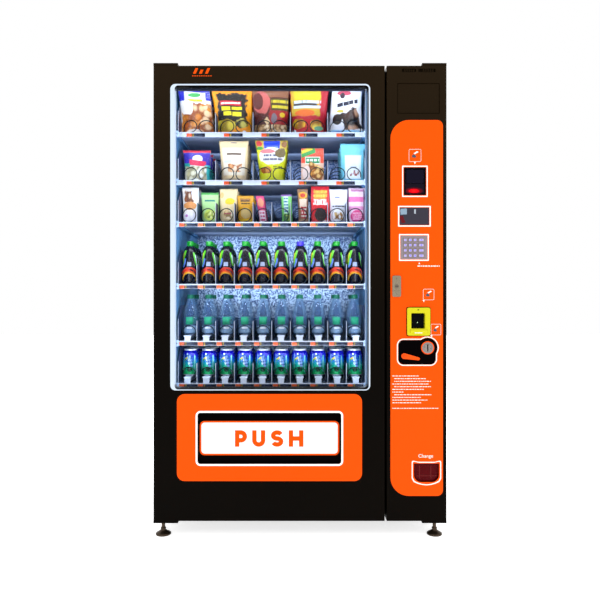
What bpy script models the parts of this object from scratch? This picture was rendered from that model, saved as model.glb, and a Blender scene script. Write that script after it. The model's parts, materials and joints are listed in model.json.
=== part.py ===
"""Snack vending machine: a glass-front spiral machine with six trays, a main door and a payment door.

Metres, +Z up. +X is to the customer's right and the customer stands at -Y. The origin is on the floor
under the middle of the machine.
"""

import math

import bmesh
import bpy
from mathutils import Matrix, Vector

# Whole machine
WIDTH = 1.200
HEIGHT = 1.940
FRONT_Y = -0.400
BACK_Y = 0.400
GAP = 0.0003
ROUND_STEPS = 16

# Cabinet shell
SHELL_FRONT_Y = -0.322
BASE_Z = (0.074, 0.110)
ROOF_Z = (1.880, 1.9277)
BACK_PANEL_Y = 0.345
CHAMBER_X = (-0.540, 0.290)
BAY_X = (0.345, 0.570)
LEDGE_HEIGHT = 0.012
LEDGE_REACH = 0.016
LEDGE_Y = (-0.215, 0.300)
GRILLE_SLOT_X = (-0.450, 0.200)
GRILLE_SLOT_HEIGHT = 0.010
GRILLE_Z = (0.180, 0.420)
GRILLE_SLOTS = 9

# Levelling feet
FOOT_X = (-0.566, 0.557)
FOOT_Y = (-0.345, 0.340)
FOOT_RADIUS = 0.032
STEM_TOP_FRONT = 0.0650
STEM_RADIUS = 0.0074
STEM_BORE_RADIUS = 0.0080

# Doors
DOOR_Y = (-0.385, -0.325)
DOOR_Z = (0.068, 1.926)
MAIN_DOOR_X = (-0.600, 0.346)
PAYMENT_DOOR_X = (0.354, 0.600)
OUTER_EDGE_RADIUS = 0.010
SEAM_EDGE_RADIUS = 0.003
HINGE_INSET = 0.012
HINGE_Y = -0.355
PIN_RADIUS = 0.0045
PIN_BORE_RADIUS = 0.0050
PIN_REACH = 0.026
HINGE_PLATE_Y = (-0.378, -0.272)
HINGE_PLATE_THICKNESS = 0.010
HINGE_PLATE_LENGTH = 0.100

# Main door: window and delivery opening, each as x0, z0, x1, z1
WINDOW = (-0.524, 0.607, 0.280, 1.851)
WINDOW_CORNER = 0.020
TRIM_WIDTH = 0.006
GLASS_Y = (-0.3721, -0.347)
GLASS_LAP = 0.007
SURROUND = (-0.502, 0.2315, 0.253, 0.5865)
SURROUND_CORNER = 0.031
DELIVERY = (-0.418, 0.301, 0.1685, 0.510)
DELIVERY_CORNER = 0.012
SKIN_Y = (-0.3868, -0.3853)

# Delivery flap
FLAP_AXIS_Y = -0.3663
FLAP_AXIS_Z = 0.501
FLAP_Y = (-0.369, -0.361)
PUSH_PLATE = (-0.411, 0.3335, 0.161, 0.474)
PUSH_PLATE_CORNER = 0.019
PUSH_PLATE_FRONT_Y = -0.3725
FLAP_PIN_RADIUS = 0.003

# Payment door, each place as x0, z0, x1, z1
EMBOSS = (0.397, 1.7305, 0.570, 1.855)
VENTS = ((0.416, 1.900, 0.473, 1.914), (0.483, 1.900, 0.553, 1.914))
FASCIA = (0.369, 0.171, 0.583, 1.704)
FASCIA_LEFT_CORNER = 0.075
FASCIA_RIGHT_CORNER = 0.024
SCANNER = (0.4240, 1.3980, 0.5130, 1.5100)
DISPLAY = (0.4070, 1.2764, 0.5260, 1.3466)
KEYPAD = (0.4110, 1.1370, 0.5180, 1.2315)
BILL_BODY = (0.4485, 0.8335, 0.5175, 0.9305)
BILL_BEZEL = (0.436, 0.825, 0.530, 0.939)
BILL_MOUTH = (0.4525, 0.8537, 0.509, 0.9166)
COIN_BODY = (0.4135, 0.7155, 0.5445, 0.7985)
COIN_PLATE = (0.401, 0.7076, 0.553, 0.8064)
COIN_DISC = (0.5198, 0.7754)
COIN_BUMP_RADIUS = 0.040
COIN_DISC_RADIUS = 0.0235
CUP_BODY = (0.4612, 0.2160, 0.5698, 0.3075)
CUP_MOUTH = (0.4643, 0.2278, 0.5667, 0.3035)
CUP_CORNER = 0.030
CUP_DEPTH_Y = (-0.3872, -0.290)
MODULE_CLEARANCE = 0.0005
MODULE_FRONT_Y = -0.3876

# Keys: column centres with widths, and row centres
KEY_COLUMNS = ((0.4288, 0.0155), (0.4492, 0.0155), (0.4687, 0.0155), (0.4944, 0.0260))
KEY_ROWS = (1.2148, 1.1936, 1.1720, 1.1507)
KEY_HEIGHT = 0.0150
KEY_Y = (-0.3904, -0.3700)
KEY_POCKET_Y = -0.3675
KEY_CLEARANCE = 0.0005

# Lock, coin return lever and change flap
LOCK_PIVOT = (0.3935, 1.026)
LOCK_PLATE = (0.376, 0.983, 0.411, 1.069)
LOCK_SHAFT_RADIUS = 0.0080
LOCK_BORE_RADIUS = 0.0086
LEVER_PIVOT = (0.4235, 0.742)
LEVER_TIP = (0.481, 0.731)
LEVER_RADII = (0.0115, 0.0060)
LEVER_Y = (-0.3965, -0.3900)
LEVER_SHAFT_RADIUS = 0.003
CHANGE_AXIS_Y = -0.379
CHANGE_AXIS_Z = 0.298
CHANGE_FLAP_THICKNESS = 0.003
CHANGE_PIN_RADIUS = 0.0015

# Trays and spirals
TRAY_X = (-0.530, 0.284)
TRAY_FRONT_Y = -0.228
TRAY_BACK_Y = 0.273
RAIL_TOPS = (1.698, 1.490, 1.3085, 1.0395, 0.793, 0.609)
LANE_COUNTS = (5, 5, 10, 10, 10, 10)
RAIL_HEIGHT = 0.021
RAIL_THICKNESS = 0.004
RAIL_LIP = 0.004
SHEET = 0.003
DIVIDER = 0.002
DIVIDER_HEIGHT = 0.090
SIDE_WALL_HEIGHT = 0.158
SIDE_WALL_FRONT_HEIGHT = 0.094
SIDE_WALL_SLOPE_RUN = 0.070
SPIRAL_RADIUS = 0.032
SPIRAL_WIRE = 0.0022
SPIRAL_LIFT = 0.0365
SPIRAL_Y = (-0.2195, 0.262)
SPIRAL_POINTS_PER_TURN = 10
PAIR_SPACING = 0.073

# Inside the cabinet
BIN_X = (-0.535, 0.285)
BIN_Y = (-0.318, 0.020)
BIN_Z = (0.268, 0.545)
BIN_WALL = 0.004
COOLER_X = (-0.530, 0.280)

LOOKS = {
    "black_paint": ((0.020, 0.017, 0.013), 0.28, 0.0),
    "grey_steel": ((0.42, 0.43, 0.44), 0.40, 1.0),
    "zinc": ((0.55, 0.56, 0.58), 0.35, 1.0),
    "white_sheet": ((0.80, 0.82, 0.84), 0.45, 0.0),
    "orange_skin": ((0.960, 0.102, 0.003), 0.30, 0.0),
    "trim_white": ((0.66, 0.75, 0.86), 0.35, 0.0),
    "glass": ((0.80, 0.88, 0.92), 0.05, 0.0),
    "white_plastic": ((0.90, 0.90, 0.90), 0.35, 0.0),
    "black_plastic": ((0.012, 0.012, 0.013), 0.35, 0.0),
    "yellow_plastic": ((0.72, 0.69, 0.018), 0.40, 0.0),
    "lens_black": ((0.006, 0.005, 0.014), 0.10, 0.0),
    "lcd_grey": ((0.051, 0.048, 0.063), 0.25, 0.0),
    "key_metal": ((0.36, 0.24, 0.26), 0.35, 1.0),
    "nickel": ((0.41, 0.32, 0.25), 0.32, 1.0),
    "orange_plastic": ((0.960, 0.102, 0.003), 0.40, 0.0),
    "red_clear": ((0.127, 0.011, 0.012), 0.15, 0.0),
    "black_wire": ((0.010, 0.010, 0.011), 0.35, 0.0),
    "foot_rubber": ((0.020, 0.020, 0.020), 0.70, 0.0),
}


def clear_scene():
    for obj in list(bpy.data.objects):
        bpy.data.objects.remove(obj, do_unlink=True)


def new_collection(name):
    made = bpy.data.collections.new(name)
    bpy.context.scene.collection.children.link(made)
    return made


clear_scene()
MACHINE = new_collection("snack_vending_machine")
CUTTERS = new_collection("cutters")


def look(name):
    """The named Principled material, made once."""
    if name in bpy.data.materials:
        return bpy.data.materials[name]
    colour, roughness, metallic = LOOKS[name]
    material = bpy.data.materials.new(name)
    material.use_nodes = True
    shader = material.node_tree.nodes["Principled BSDF"]
    shader.inputs["Base Color"].default_value = (*colour, 1.0)
    shader.inputs["Roughness"].default_value = roughness
    shader.inputs["Metallic"].default_value = metallic
    return material


# Objects and places -------------------------------------------------------------------------------


def axis_empty(name, place, parent=None):
    """An empty on a moving body's axis, which that body's objects are parented to."""
    empty = bpy.data.objects.new(name, None)
    MACHINE.objects.link(empty)
    settle(empty, place, parent)
    return empty


def world_place(obj):
    place = Vector(obj.location)
    while obj.parent:
        obj = obj.parent
        place += obj.location
    return place


def settle(obj, place, parent=None):
    """Puts an object's origin at a world place, under its parent."""
    obj.location = Vector(place) - (world_place(parent) if parent else Vector())
    obj.parent = parent


def add_mesh(name, shape, place, finish=None, parent=None):
    """An object from a bmesh whose coordinates are in the world, with its origin at place."""
    bmesh.ops.translate(shape, verts=shape.verts, vec=-Vector(place))
    mesh = bpy.data.meshes.new(name)
    shape.to_mesh(mesh)
    shape.free()
    obj = bpy.data.objects.new(name, mesh)
    if finish:
        MACHINE.objects.link(obj)
        mesh.materials.append(look(finish))
    else:
        CUTTERS.objects.link(obj)
        obj.hide_render = True
        obj.display_type = "WIRE"
    settle(obj, place, parent)
    return obj


# Shapes, each as a bmesh in world coordinates ------------------------------------------------------


def cuboid(low, high):
    low, high = Vector(low), Vector(high)
    shape = bmesh.new()
    grow = Matrix.Diagonal((*(high - low), 1.0))
    bmesh.ops.create_cube(shape, size=1.0, matrix=Matrix.Translation((low + high) / 2) @ grow)
    return shape


def slab(rect, ys):
    """A cuboid from a front-view rectangle and its two y values."""
    x0, z0, x1, z1 = rect
    return cuboid((x0, ys[0], z0), (x1, ys[1], z1))


def rod(start, end, radius, steps=ROUND_STEPS):
    """A cylinder between two points."""
    start, end = Vector(start), Vector(end)
    turn = Vector((0, 0, 1)).rotation_difference(end - start).to_matrix().to_4x4()
    shape = bmesh.new()
    bmesh.ops.create_cone(
        shape,
        cap_ends=True,
        segments=steps,
        radius1=radius,
        radius2=radius,
        depth=(end - start).length,
        matrix=Matrix.Translation((start + end) / 2) @ turn,
    )
    return shape


def merged(shapes):
    """Several bmeshes as one, for a cutter of many pieces."""
    whole = bmesh.new()
    for shape in shapes:
        mesh = bpy.data.meshes.new("piece")
        shape.to_mesh(mesh)
        shape.free()
        whole.from_mesh(mesh)
        bpy.data.meshes.remove(mesh)
    return whole


def arc(centre, radius, start_deg, end_deg, steps):
    for i in range(steps + 1):
        angle = math.radians(start_deg + (end_deg - start_deg) * i / steps)
        yield (centre[0] + radius * math.cos(angle), centre[1] + radius * math.sin(angle))


def rounded(rect, corner, steps=5):
    """A rectangle's outline with round corners: one radius, or four from the lower left, anticlockwise."""
    x0, z0, x1, z1 = rect
    radii = (corner,) * 4 if isinstance(corner, float) else corner
    corners = ((x0, z0), (x1, z0), (x1, z1), (x0, z1))
    inward = ((1, 1), (-1, 1), (-1, -1), (1, -1))
    points = []
    for i, ((x, z), (sx, sz), radius) in enumerate(zip(corners, inward, radii)):
        centre = (x + sx * radius, z + sz * radius)
        points += arc(centre, radius, 180 + 90 * i, 270 + 90 * i, steps)
    return points


def circle(centre, radius, steps=ROUND_STEPS):
    return list(arc(centre, radius, 0, 360, steps))[:-1]


def tapered_link(start, end, radii, steps=8):
    """The outline round two circles and the tangents between them."""
    run = Vector(end) - Vector(start)
    heading = math.degrees(math.atan2(run.y, run.x))
    spread = math.degrees(math.acos((radii[0] - radii[1]) / run.length))
    points = list(arc(end, radii[1], heading - spread, heading + spread, steps))
    points += arc(start, radii[0], heading + spread, heading + 360 - spread, steps)
    return points


def extruded(outlines, ys):
    """A 2D curve in the front view, filled and extruded between two y values; later outlines are holes."""
    curve = bpy.data.curves.new("outline", "CURVE")
    curve.dimensions = "2D"
    curve.fill_mode = "BOTH"
    curve.extrude = (ys[1] - ys[0]) / 2
    for outline in outlines:
        spline = curve.splines.new("POLY")
        spline.points.add(len(outline) - 1)
        spline.use_cyclic_u = True
        for point, (x, z) in zip(spline.points, outline):
            point.co = (x, z, 0, 1)
    guide = bpy.data.objects.new("outline", curve)
    CUTTERS.objects.link(guide)
    guide.location.y = (ys[0] + ys[1]) / 2
    guide.rotation_euler.x = math.pi / 2
    bpy.context.view_layer.update()
    graph = bpy.context.evaluated_depsgraph_get()
    mesh = bpy.data.meshes.new_from_object(guide.evaluated_get(graph))
    mesh.transform(guide.matrix_world)
    bpy.data.objects.remove(guide)
    bpy.data.curves.remove(curve)
    shape = bmesh.new()
    shape.from_mesh(mesh)
    bpy.data.meshes.remove(mesh)
    bmesh.ops.remove_doubles(shape, verts=shape.verts, dist=0.00001)
    bmesh.ops.recalc_face_normals(shape, faces=shape.faces)
    return shape


def round_upright_edge(shape, x, y, radius):
    """Rounds a cuboid's upright edge at x, y."""
    edges = [
        edge
        for edge in shape.edges
        if all(abs(v.co.x - x) < GAP and abs(v.co.y - y) < GAP for v in edge.verts)
    ]
    bmesh.ops.bevel(shape, geom=edges, offset=radius, segments=4, profile=0.5, affect="EDGES")


def grown(rect, margin):
    x0, z0, x1, z1 = rect
    return (x0 - margin, z0 - margin, x1 + margin, z1 + margin)


def boolean(obj, shape, operation):
    other = add_mesh(f"{obj.name}_{operation.lower()}_{len(obj.modifiers)}", shape, (0, 0, 0))
    modifier = obj.modifiers.new(other.name, "BOOLEAN")
    modifier.operation = operation
    modifier.solver = "EXACT"
    modifier.object = other


def cut(obj, *shapes):
    for shape in shapes:
        boolean(obj, shape, "DIFFERENCE")


def join(obj, *shapes):
    for shape in shapes:
        boolean(obj, shape, "UNION")


def smooth_round(obj):
    obj.data.shade_smooth()
    obj.data.set_sharp_from_angle(angle=math.radians(35))


def middle(low, high):
    return (Vector(low) + Vector(high)) / 2


def panel(name, low, high, finish, parent=None):
    return add_mesh(name, cuboid(low, high), middle(low, high), finish, parent)


# Cabinet ---------------------------------------------------------------------------------------------


def floor_z(tray):
    return RAIL_TOPS[tray] - RAIL_LIP


def ledges(x_low, x_high):
    """The folded runners that the six trays rest on, as one bmesh."""
    tops = [floor_z(tray) - SHEET - GAP for tray in range(len(RAIL_TOPS))]
    return [
        cuboid((x_low, LEDGE_Y[0], top - LEDGE_HEIGHT), (x_high, LEDGE_Y[1], top)) for top in tops
    ]


def upright(name, x_low, x_high):
    low = (x_low, SHELL_FRONT_Y, BASE_Z[1] + GAP)
    high = (x_high, BACK_PANEL_Y - GAP, ROOF_Z[0] - GAP)
    return panel(name, low, high, "black_paint")


def stem_bore(x, y, heights):
    return rod((x, y, heights[0] - 0.01), (x, y, heights[1] + 0.01), STEM_BORE_RADIUS)


def make_shell():
    half = WIDTH / 2
    base = panel(
        "cabinet_base", (-half, SHELL_FRONT_Y, BASE_Z[0]), (half, BACK_Y, BASE_Z[1]), "black_paint"
    )
    for x in FOOT_X:
        cut(base, stem_bore(x, FOOT_Y[1], BASE_Z))
    panel(
        "cabinet_top", (-half, SHELL_FRONT_Y, ROOF_Z[0]), (half, BACK_Y, ROOF_Z[1]), "black_paint"
    )
    left = upright("cabinet_left_side", -half, CHAMBER_X[0])
    join(left, merged(ledges(CHAMBER_X[0] - 0.004, CHAMBER_X[0] + LEDGE_REACH)))
    upright("cabinet_right_side", BAY_X[1], half)
    wall = upright("partition_wall", CHAMBER_X[1], BAY_X[0])
    join(wall, merged(ledges(CHAMBER_X[1] - LEDGE_REACH, CHAMBER_X[1] + 0.004)))
    low = (-half, BACK_PANEL_Y, BASE_Z[1] + GAP)
    high = (half, BACK_Y, ROOF_Z[0] - GAP)
    back = panel("cabinet_back", low, high, "grey_steel")
    pitch = (GRILLE_Z[1] - GRILLE_Z[0]) / (GRILLE_SLOTS - 1)
    slots = []
    for i in range(GRILLE_SLOTS):
        z = GRILLE_Z[0] + i * pitch
        rect = (GRILLE_SLOT_X[0], z, GRILLE_SLOT_X[1], z + GRILLE_SLOT_HEIGHT)
        slots.append(slab(rect, (BACK_PANEL_Y - 0.01, BACK_Y + 0.01)))
    cut(back, merged(slots))


def make_feet():
    """Cone feet on threaded stems: the front two turn in the hinge plates, the rear two in the base."""
    stem_tops = (STEM_TOP_FRONT, BASE_Z[1] - 0.004)
    for side, x in zip(("left", "right"), FOOT_X):
        for end, y, top in zip(("front", "rear"), FOOT_Y, stem_tops):
            profile = (
                (0.0, top),
                (STEM_RADIUS, top),
                (STEM_RADIUS, 0.036),
                (0.014, 0.036),
                (0.016, 0.026),
                (FOOT_RADIUS, 0.008),
                (FOOT_RADIUS, 0.0),
                (0.0, 0.0),
            )
            shape = bmesh.new()
            points = [shape.verts.new((r, 0, z)) for r, z in profile]
            for a, b in zip(points, points[1:]):
                shape.edges.new((a, b))
            foot = add_mesh(f"{end}_{side}_foot", shape, (0, 0, 0), "foot_rubber")
            foot.location = (x, y, 0)
            screw = foot.modifiers.new("turn", "SCREW")
            screw.steps = screw.render_steps = ROUND_STEPS
            screw.use_merge_vertices = True
            screw.merge_threshold = 0.00001
            screw.use_smooth_shade = True


def make_hinge_plates():
    """Plates above and below each door, each with the pin that the door turns on."""
    half = WIDTH / 2
    for side, sign, foot_x in zip(("left", "right"), (-1, 1), FOOT_X):
        pivot_x = sign * (half - HINGE_INSET)
        xs = sorted((sign * half, sign * (half - HINGE_PLATE_LENGTH)))
        top_z = (ROOF_Z[1] + GAP, HEIGHT)
        low, high = (xs[0], HINGE_PLATE_Y[0], top_z[0]), (xs[1], HINGE_PLATE_Y[1], top_z[1])
        plate = panel(f"top_hinge_plate_{side}", low, high, "black_paint")
        pin_end = DOOR_Z[1] - PIN_REACH
        join(plate, rod((pivot_x, HINGE_Y, pin_end), (pivot_x, HINGE_Y, HEIGHT - 0.004), PIN_RADIUS))
        plate_top = DOOR_Z[0] - 0.0015
        plate_low = plate_top - HINGE_PLATE_THICKNESS
        low, high = (xs[0], HINGE_PLATE_Y[0], plate_low), (xs[1], HINGE_PLATE_Y[1], plate_top)
        plate = panel(f"bottom_hinge_plate_{side}", low, high, "black_paint")
        block_low = (xs[0], SHELL_FRONT_Y + 0.004, plate_low + 0.002)
        block_high = (xs[1], HINGE_PLATE_Y[1], BASE_Z[0] - GAP)
        join(plate, cuboid(block_low, block_high))
        pin_end = DOOR_Z[0] + PIN_REACH
        start = (pivot_x, HINGE_Y, plate_low + 0.003)
        join(plate, rod(start, (pivot_x, HINGE_Y, pin_end), PIN_RADIUS))
        cut(plate, stem_bore(foot_x, FOOT_Y[0], (plate_low, plate_top)))


# Trays -----------------------------------------------------------------------------------------------


def comb_outline(tray):
    """The front view of a tray's floor with its side walls and lane dividers standing on it."""
    lanes = LANE_COUNTS[tray]
    floor = floor_z(tray)
    x0, x1 = TRAY_X
    pitch = (x1 - x0 - DIVIDER) / lanes
    points = [(x0, floor - SHEET), (x1, floor - SHEET)]
    for wall in range(lanes, -1, -1):
        left = x0 + wall * pitch
        right = left + DIVIDER
        top = floor + (SIDE_WALL_HEIGHT if wall in (0, lanes) else DIVIDER_HEIGHT)
        foot = [(right, floor)] if wall < lanes else []
        points += foot + [(right, top), (left, top)]
        points += [(left, floor)] if wall else []
    return points


def side_wall_slope(floor):
    """The cutter that slopes the front top corners of a tray's two side walls."""
    x0, x1 = TRAY_X[0] - 0.01, TRAY_X[1] + 0.01
    low_z = floor + SIDE_WALL_FRONT_HEIGHT
    high_z = floor + SIDE_WALL_HEIGHT
    corners = (
        (TRAY_FRONT_Y, low_z),
        (TRAY_FRONT_Y + SIDE_WALL_SLOPE_RUN, high_z),
        (TRAY_FRONT_Y + SIDE_WALL_SLOPE_RUN, high_z + 0.01),
        (TRAY_FRONT_Y - 0.01, high_z + 0.01),
        (TRAY_FRONT_Y - 0.01, low_z),
    )
    shape = bmesh.new()
    face = shape.faces.new([shape.verts.new((x0, y, z)) for y, z in corners])
    ends = bmesh.ops.extrude_face_region(shape, geom=[face])["geom"]
    moved = [item for item in ends if isinstance(item, bmesh.types.BMVert)]
    bmesh.ops.translate(shape, verts=moved, vec=(x1 - x0, 0, 0))
    bmesh.ops.recalc_face_normals(shape, faces=shape.faces)
    return shape


def make_trays():
    for tray in range(len(RAIL_TOPS)):
        floor = floor_z(tray)
        place = (TRAY_X[0], TRAY_FRONT_Y, floor)
        comb_y = (TRAY_FRONT_Y + RAIL_THICKNESS / 2, TRAY_BACK_Y - SHEET / 2)
        comb = add_mesh(f"tray_{tray + 1}", extruded([comb_outline(tray)], comb_y), place, "white_sheet")
        cut(comb, side_wall_slope(floor))
        top = RAIL_TOPS[tray]
        rail = cuboid(
            (TRAY_X[0], TRAY_FRONT_Y, top - RAIL_HEIGHT),
            (TRAY_X[1], TRAY_FRONT_Y + RAIL_THICKNESS, top),
        )
        motor_panel = cuboid(
            (TRAY_X[0], TRAY_BACK_Y - SHEET, floor - SHEET),
            (TRAY_X[1], TRAY_BACK_Y, floor + DIVIDER_HEIGHT),
        )
        join(comb, rail, motor_panel)


def lane_centre(tray, lane):
    pitch = (TRAY_X[1] - TRAY_X[0] - DIVIDER) / LANE_COUNTS[tray]
    return TRAY_X[0] + DIVIDER / 2 + (lane + 0.5) * pitch


def make_spiral(name, tray, x, turns, hand=1):
    """A dispensing spiral of round wire, with its origin on its own axis."""
    curve = bpy.data.curves.new(name, "CURVE")
    curve.dimensions = "3D"
    curve.bevel_depth = SPIRAL_WIRE
    curve.bevel_resolution = 2
    curve.use_fill_caps = True
    spline = curve.splines.new("POLY")
    steps = turns * SPIRAL_POINTS_PER_TURN
    spline.points.add(steps)
    run = SPIRAL_Y[1] - SPIRAL_Y[0]
    for i, point in enumerate(spline.points):
        angle = -math.pi / 2 + hand * math.tau * i / SPIRAL_POINTS_PER_TURN
        x_off, z_off = SPIRAL_RADIUS * math.cos(angle), SPIRAL_RADIUS * math.sin(angle)
        point.co = (x_off, run * i / steps, z_off, 1)
    curve.materials.append(look("black_wire"))
    spiral = bpy.data.objects.new(name, curve)
    MACHINE.objects.link(spiral)
    settle(spiral, (x, SPIRAL_Y[0], floor_z(tray) + SPIRAL_LIFT))


def make_spirals():
    """One driven pair in the top tray, and one spiral in each ten-lane tray."""
    centre = lane_centre(0, 2)
    make_spiral("spiral_1_left", 0, centre - PAIR_SPACING / 2, 6, 1)
    make_spiral("spiral_1_right", 0, centre + PAIR_SPACING / 2, 6, -1)
    for tray in range(2, len(RAIL_TOPS)):
        make_spiral(f"spiral_{tray + 1}", tray, lane_centre(tray, 4), 7)


# Inside the cabinet ------------------------------------------------------------------------------------


def make_insides():
    low, high = (BIN_X[0], BIN_Y[0], BIN_Z[0]), (BIN_X[1], BIN_Y[1], BIN_Z[1])
    trough = panel("delivery_bin", low, high, "black_plastic")
    cut(
        trough,
        cuboid(
            (BIN_X[0] + BIN_WALL, BIN_Y[0] - 0.01, BIN_Z[0] + BIN_WALL),
            (BIN_X[1] - BIN_WALL, BIN_Y[1] - BIN_WALL, BIN_Z[1] + 0.01),
        ),
    )
    low, high = (COOLER_X[0], -0.300, BASE_Z[1] + 0.001), (COOLER_X[1], 0.340, BIN_Z[0] - 0.006)
    cooler = panel("cooling_unit", low, high, "grey_steel")
    evaporator_box = cuboid((COOLER_X[0], 0.060, BIN_Z[0] - 0.016), (COOLER_X[1], 0.340, 0.560))
    join(cooler, evaporator_box)


# Main door -----------------------------------------------------------------------------------------------


def pin_bores(pivot_x):
    """The two bores that a door's hinge pins turn in."""
    depth = PIN_REACH + 0.004
    spans = ((DOOR_Z[0] - 0.01, DOOR_Z[0] + depth), (DOOR_Z[1] - depth, DOOR_Z[1] + 0.01))
    return [rod((pivot_x, HINGE_Y, low), (pivot_x, HINGE_Y, high), PIN_BORE_RADIUS) for low, high in spans]


def make_main_door():
    pivot = (MAIN_DOOR_X[0] + HINGE_INSET, HINGE_Y, DOOR_Z[0])
    axis = axis_empty("main_door_axis", pivot)
    shape = slab((MAIN_DOOR_X[0], DOOR_Z[0], MAIN_DOOR_X[1], DOOR_Z[1]), DOOR_Y)
    round_upright_edge(shape, MAIN_DOOR_X[0], DOOR_Y[0], OUTER_EDGE_RADIUS)
    round_upright_edge(shape, MAIN_DOOR_X[1], DOOR_Y[0], SEAM_EDGE_RADIUS)
    frame = add_mesh("main_door_frame", shape, pivot, "black_paint", axis)
    through = (DOOR_Y[0] - 0.01, DOOR_Y[1] + 0.01)
    cut(frame, extruded([rounded(WINDOW, WINDOW_CORNER)], through))
    rebate = grown(WINDOW, GLASS_LAP + 0.001)
    cut(frame, slab(rebate, (GLASS_Y[0] - 0.0004, DOOR_Y[1] + 0.01)))
    cut(frame, extruded([rounded(DELIVERY, DELIVERY_CORNER)], through))
    cut(frame, *pin_bores(pivot[0]))
    ends = (DELIVERY[0] - 0.008, DELIVERY[2] + 0.008)
    bore = rod((ends[0], FLAP_AXIS_Y, FLAP_AXIS_Z), (ends[1], FLAP_AXIS_Y, FLAP_AXIS_Z), 0.0036)
    cut(frame, bore)
    smooth_round(frame)
    glass = slab(grown(WINDOW, GLASS_LAP), GLASS_Y)
    add_mesh("window_glass", glass, pivot, "glass", axis)
    outer = rounded(grown(WINDOW, -GAP), WINDOW_CORNER - GAP)
    inner = rounded(grown(WINDOW, -TRIM_WIDTH), WINDOW_CORNER - TRIM_WIDTH)
    trim = extruded([outer, inner], (DOOR_Y[0] - 0.0012, GLASS_Y[0] - 0.0006))
    add_mesh("window_trim", trim, pivot, "trim_white", axis)
    skin = [rounded(SURROUND, SURROUND_CORNER), rounded(DELIVERY, DELIVERY_CORNER)]
    add_mesh("delivery_surround", extruded(skin, SKIN_Y), pivot, "orange_skin", axis)
    return axis


def make_delivery_flap(door_axis):
    pivot = ((DELIVERY[0] + DELIVERY[2]) / 2, FLAP_AXIS_Y, FLAP_AXIS_Z)
    axis = axis_empty("delivery_flap_axis", pivot, door_axis)
    rect = (DELIVERY[0] + 0.002, DELIVERY[1] + 0.0035, DELIVERY[2] - 0.002, DELIVERY[3] - 0.0035)
    flap = add_mesh("delivery_flap", extruded([rounded(rect, 0.010)], FLAP_Y), pivot, "black_plastic", axis)
    plate = extruded([rounded(PUSH_PLATE, PUSH_PLATE_CORNER)], (PUSH_PLATE_FRONT_Y, FLAP_Y[0] + 0.001))
    join(flap, plate)
    for inner_x, reach in ((rect[0], -1), (rect[2], 1)):
        start = (inner_x - reach * 0.006, FLAP_AXIS_Y, FLAP_AXIS_Z)
        end = (inner_x + reach * 0.007, FLAP_AXIS_Y, FLAP_AXIS_Z)
        join(flap, rod(start, end, FLAP_PIN_RADIUS, 12))


# Payment door --------------------------------------------------------------------------------------------


def fascia_holes():
    """The module openings that run through the fascia and the door panel, as outlines."""
    bodies = (SCANNER, DISPLAY, KEYPAD, BILL_BODY, COIN_BODY, CUP_BODY)
    holes = [rounded(grown(body, MODULE_CLEARANCE), 0.001, 1) for body in bodies]
    return holes + [circle(LOCK_PIVOT, LOCK_BORE_RADIUS)]


def make_payment_door():
    pivot = (PAYMENT_DOOR_X[1] - HINGE_INSET, HINGE_Y, DOOR_Z[0])
    axis = axis_empty("payment_door_axis", pivot)
    shape = slab((PAYMENT_DOOR_X[0], DOOR_Z[0], PAYMENT_DOOR_X[1], DOOR_Z[1]), DOOR_Y)
    round_upright_edge(shape, PAYMENT_DOOR_X[1], DOOR_Y[0], OUTER_EDGE_RADIUS)
    round_upright_edge(shape, PAYMENT_DOOR_X[0], DOOR_Y[0], SEAM_EDGE_RADIUS)
    door = add_mesh("payment_door_panel", shape, pivot, "black_paint", axis)
    for hole in fascia_holes():
        cut(door, extruded([hole], (DOOR_Y[0] - 0.01, DOOR_Y[1] + 0.01)))
    cut(door, extruded([rounded(EMBOSS, 0.008)], (DOOR_Y[0] - 0.01, DOOR_Y[0] + 0.002)))
    for vent in VENTS:
        cut(door, extruded([rounded(vent, 0.003, 2)], (DOOR_Y[0] - 0.01, DOOR_Y[0] + 0.012)))
    cut(door, *pin_bores(pivot[0]))
    smooth_round(door)
    left, right = FASCIA_LEFT_CORNER, FASCIA_RIGHT_CORNER
    outline = rounded(FASCIA, (left, right, right, left), 8)
    add_mesh("payment_fascia", extruded([outline] + fascia_holes(), SKIN_Y), pivot, "orange_skin", axis)
    return axis


def make_screens(axis):
    scanner_y, display_y = (MODULE_FRONT_Y, -0.345), (MODULE_FRONT_Y, -0.352)
    for name, rect, ys, finish in (
        ("scanner_window", SCANNER, scanner_y, "lens_black"),
        ("display", DISPLAY, display_y, "lcd_grey"),
    ):
        centre = ((rect[0] + rect[2]) / 2, ys[0], (rect[1] + rect[3]) / 2)
        add_mesh(name, slab(rect, ys), centre, finish, axis)


def key_places():
    for row, z in enumerate(KEY_ROWS):
        for column, (x, width) in enumerate(KEY_COLUMNS):
            yield row, column, (x - width / 2, z - KEY_HEIGHT / 2, x + width / 2, z + KEY_HEIGHT / 2)


def make_keypad(axis):
    centre = ((KEYPAD[0] + KEYPAD[2]) / 2, MODULE_FRONT_Y, (KEYPAD[1] + KEYPAD[3]) / 2)
    plate = add_mesh("keypad_plate", slab(KEYPAD, (-0.3884, -0.362)), centre, "key_metal", axis)
    pockets = [slab(grown(rect, KEY_CLEARANCE), (-0.392, KEY_POCKET_Y)) for _, _, rect in key_places()]
    cut(plate, merged(pockets))
    for row, column, rect in key_places():
        place = ((rect[0] + rect[2]) / 2, KEY_Y[0], (rect[1] + rect[3]) / 2)
        add_mesh(f"key_{row + 1}_{column + 1}", slab(rect, KEY_Y), place, "key_metal", axis)


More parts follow.
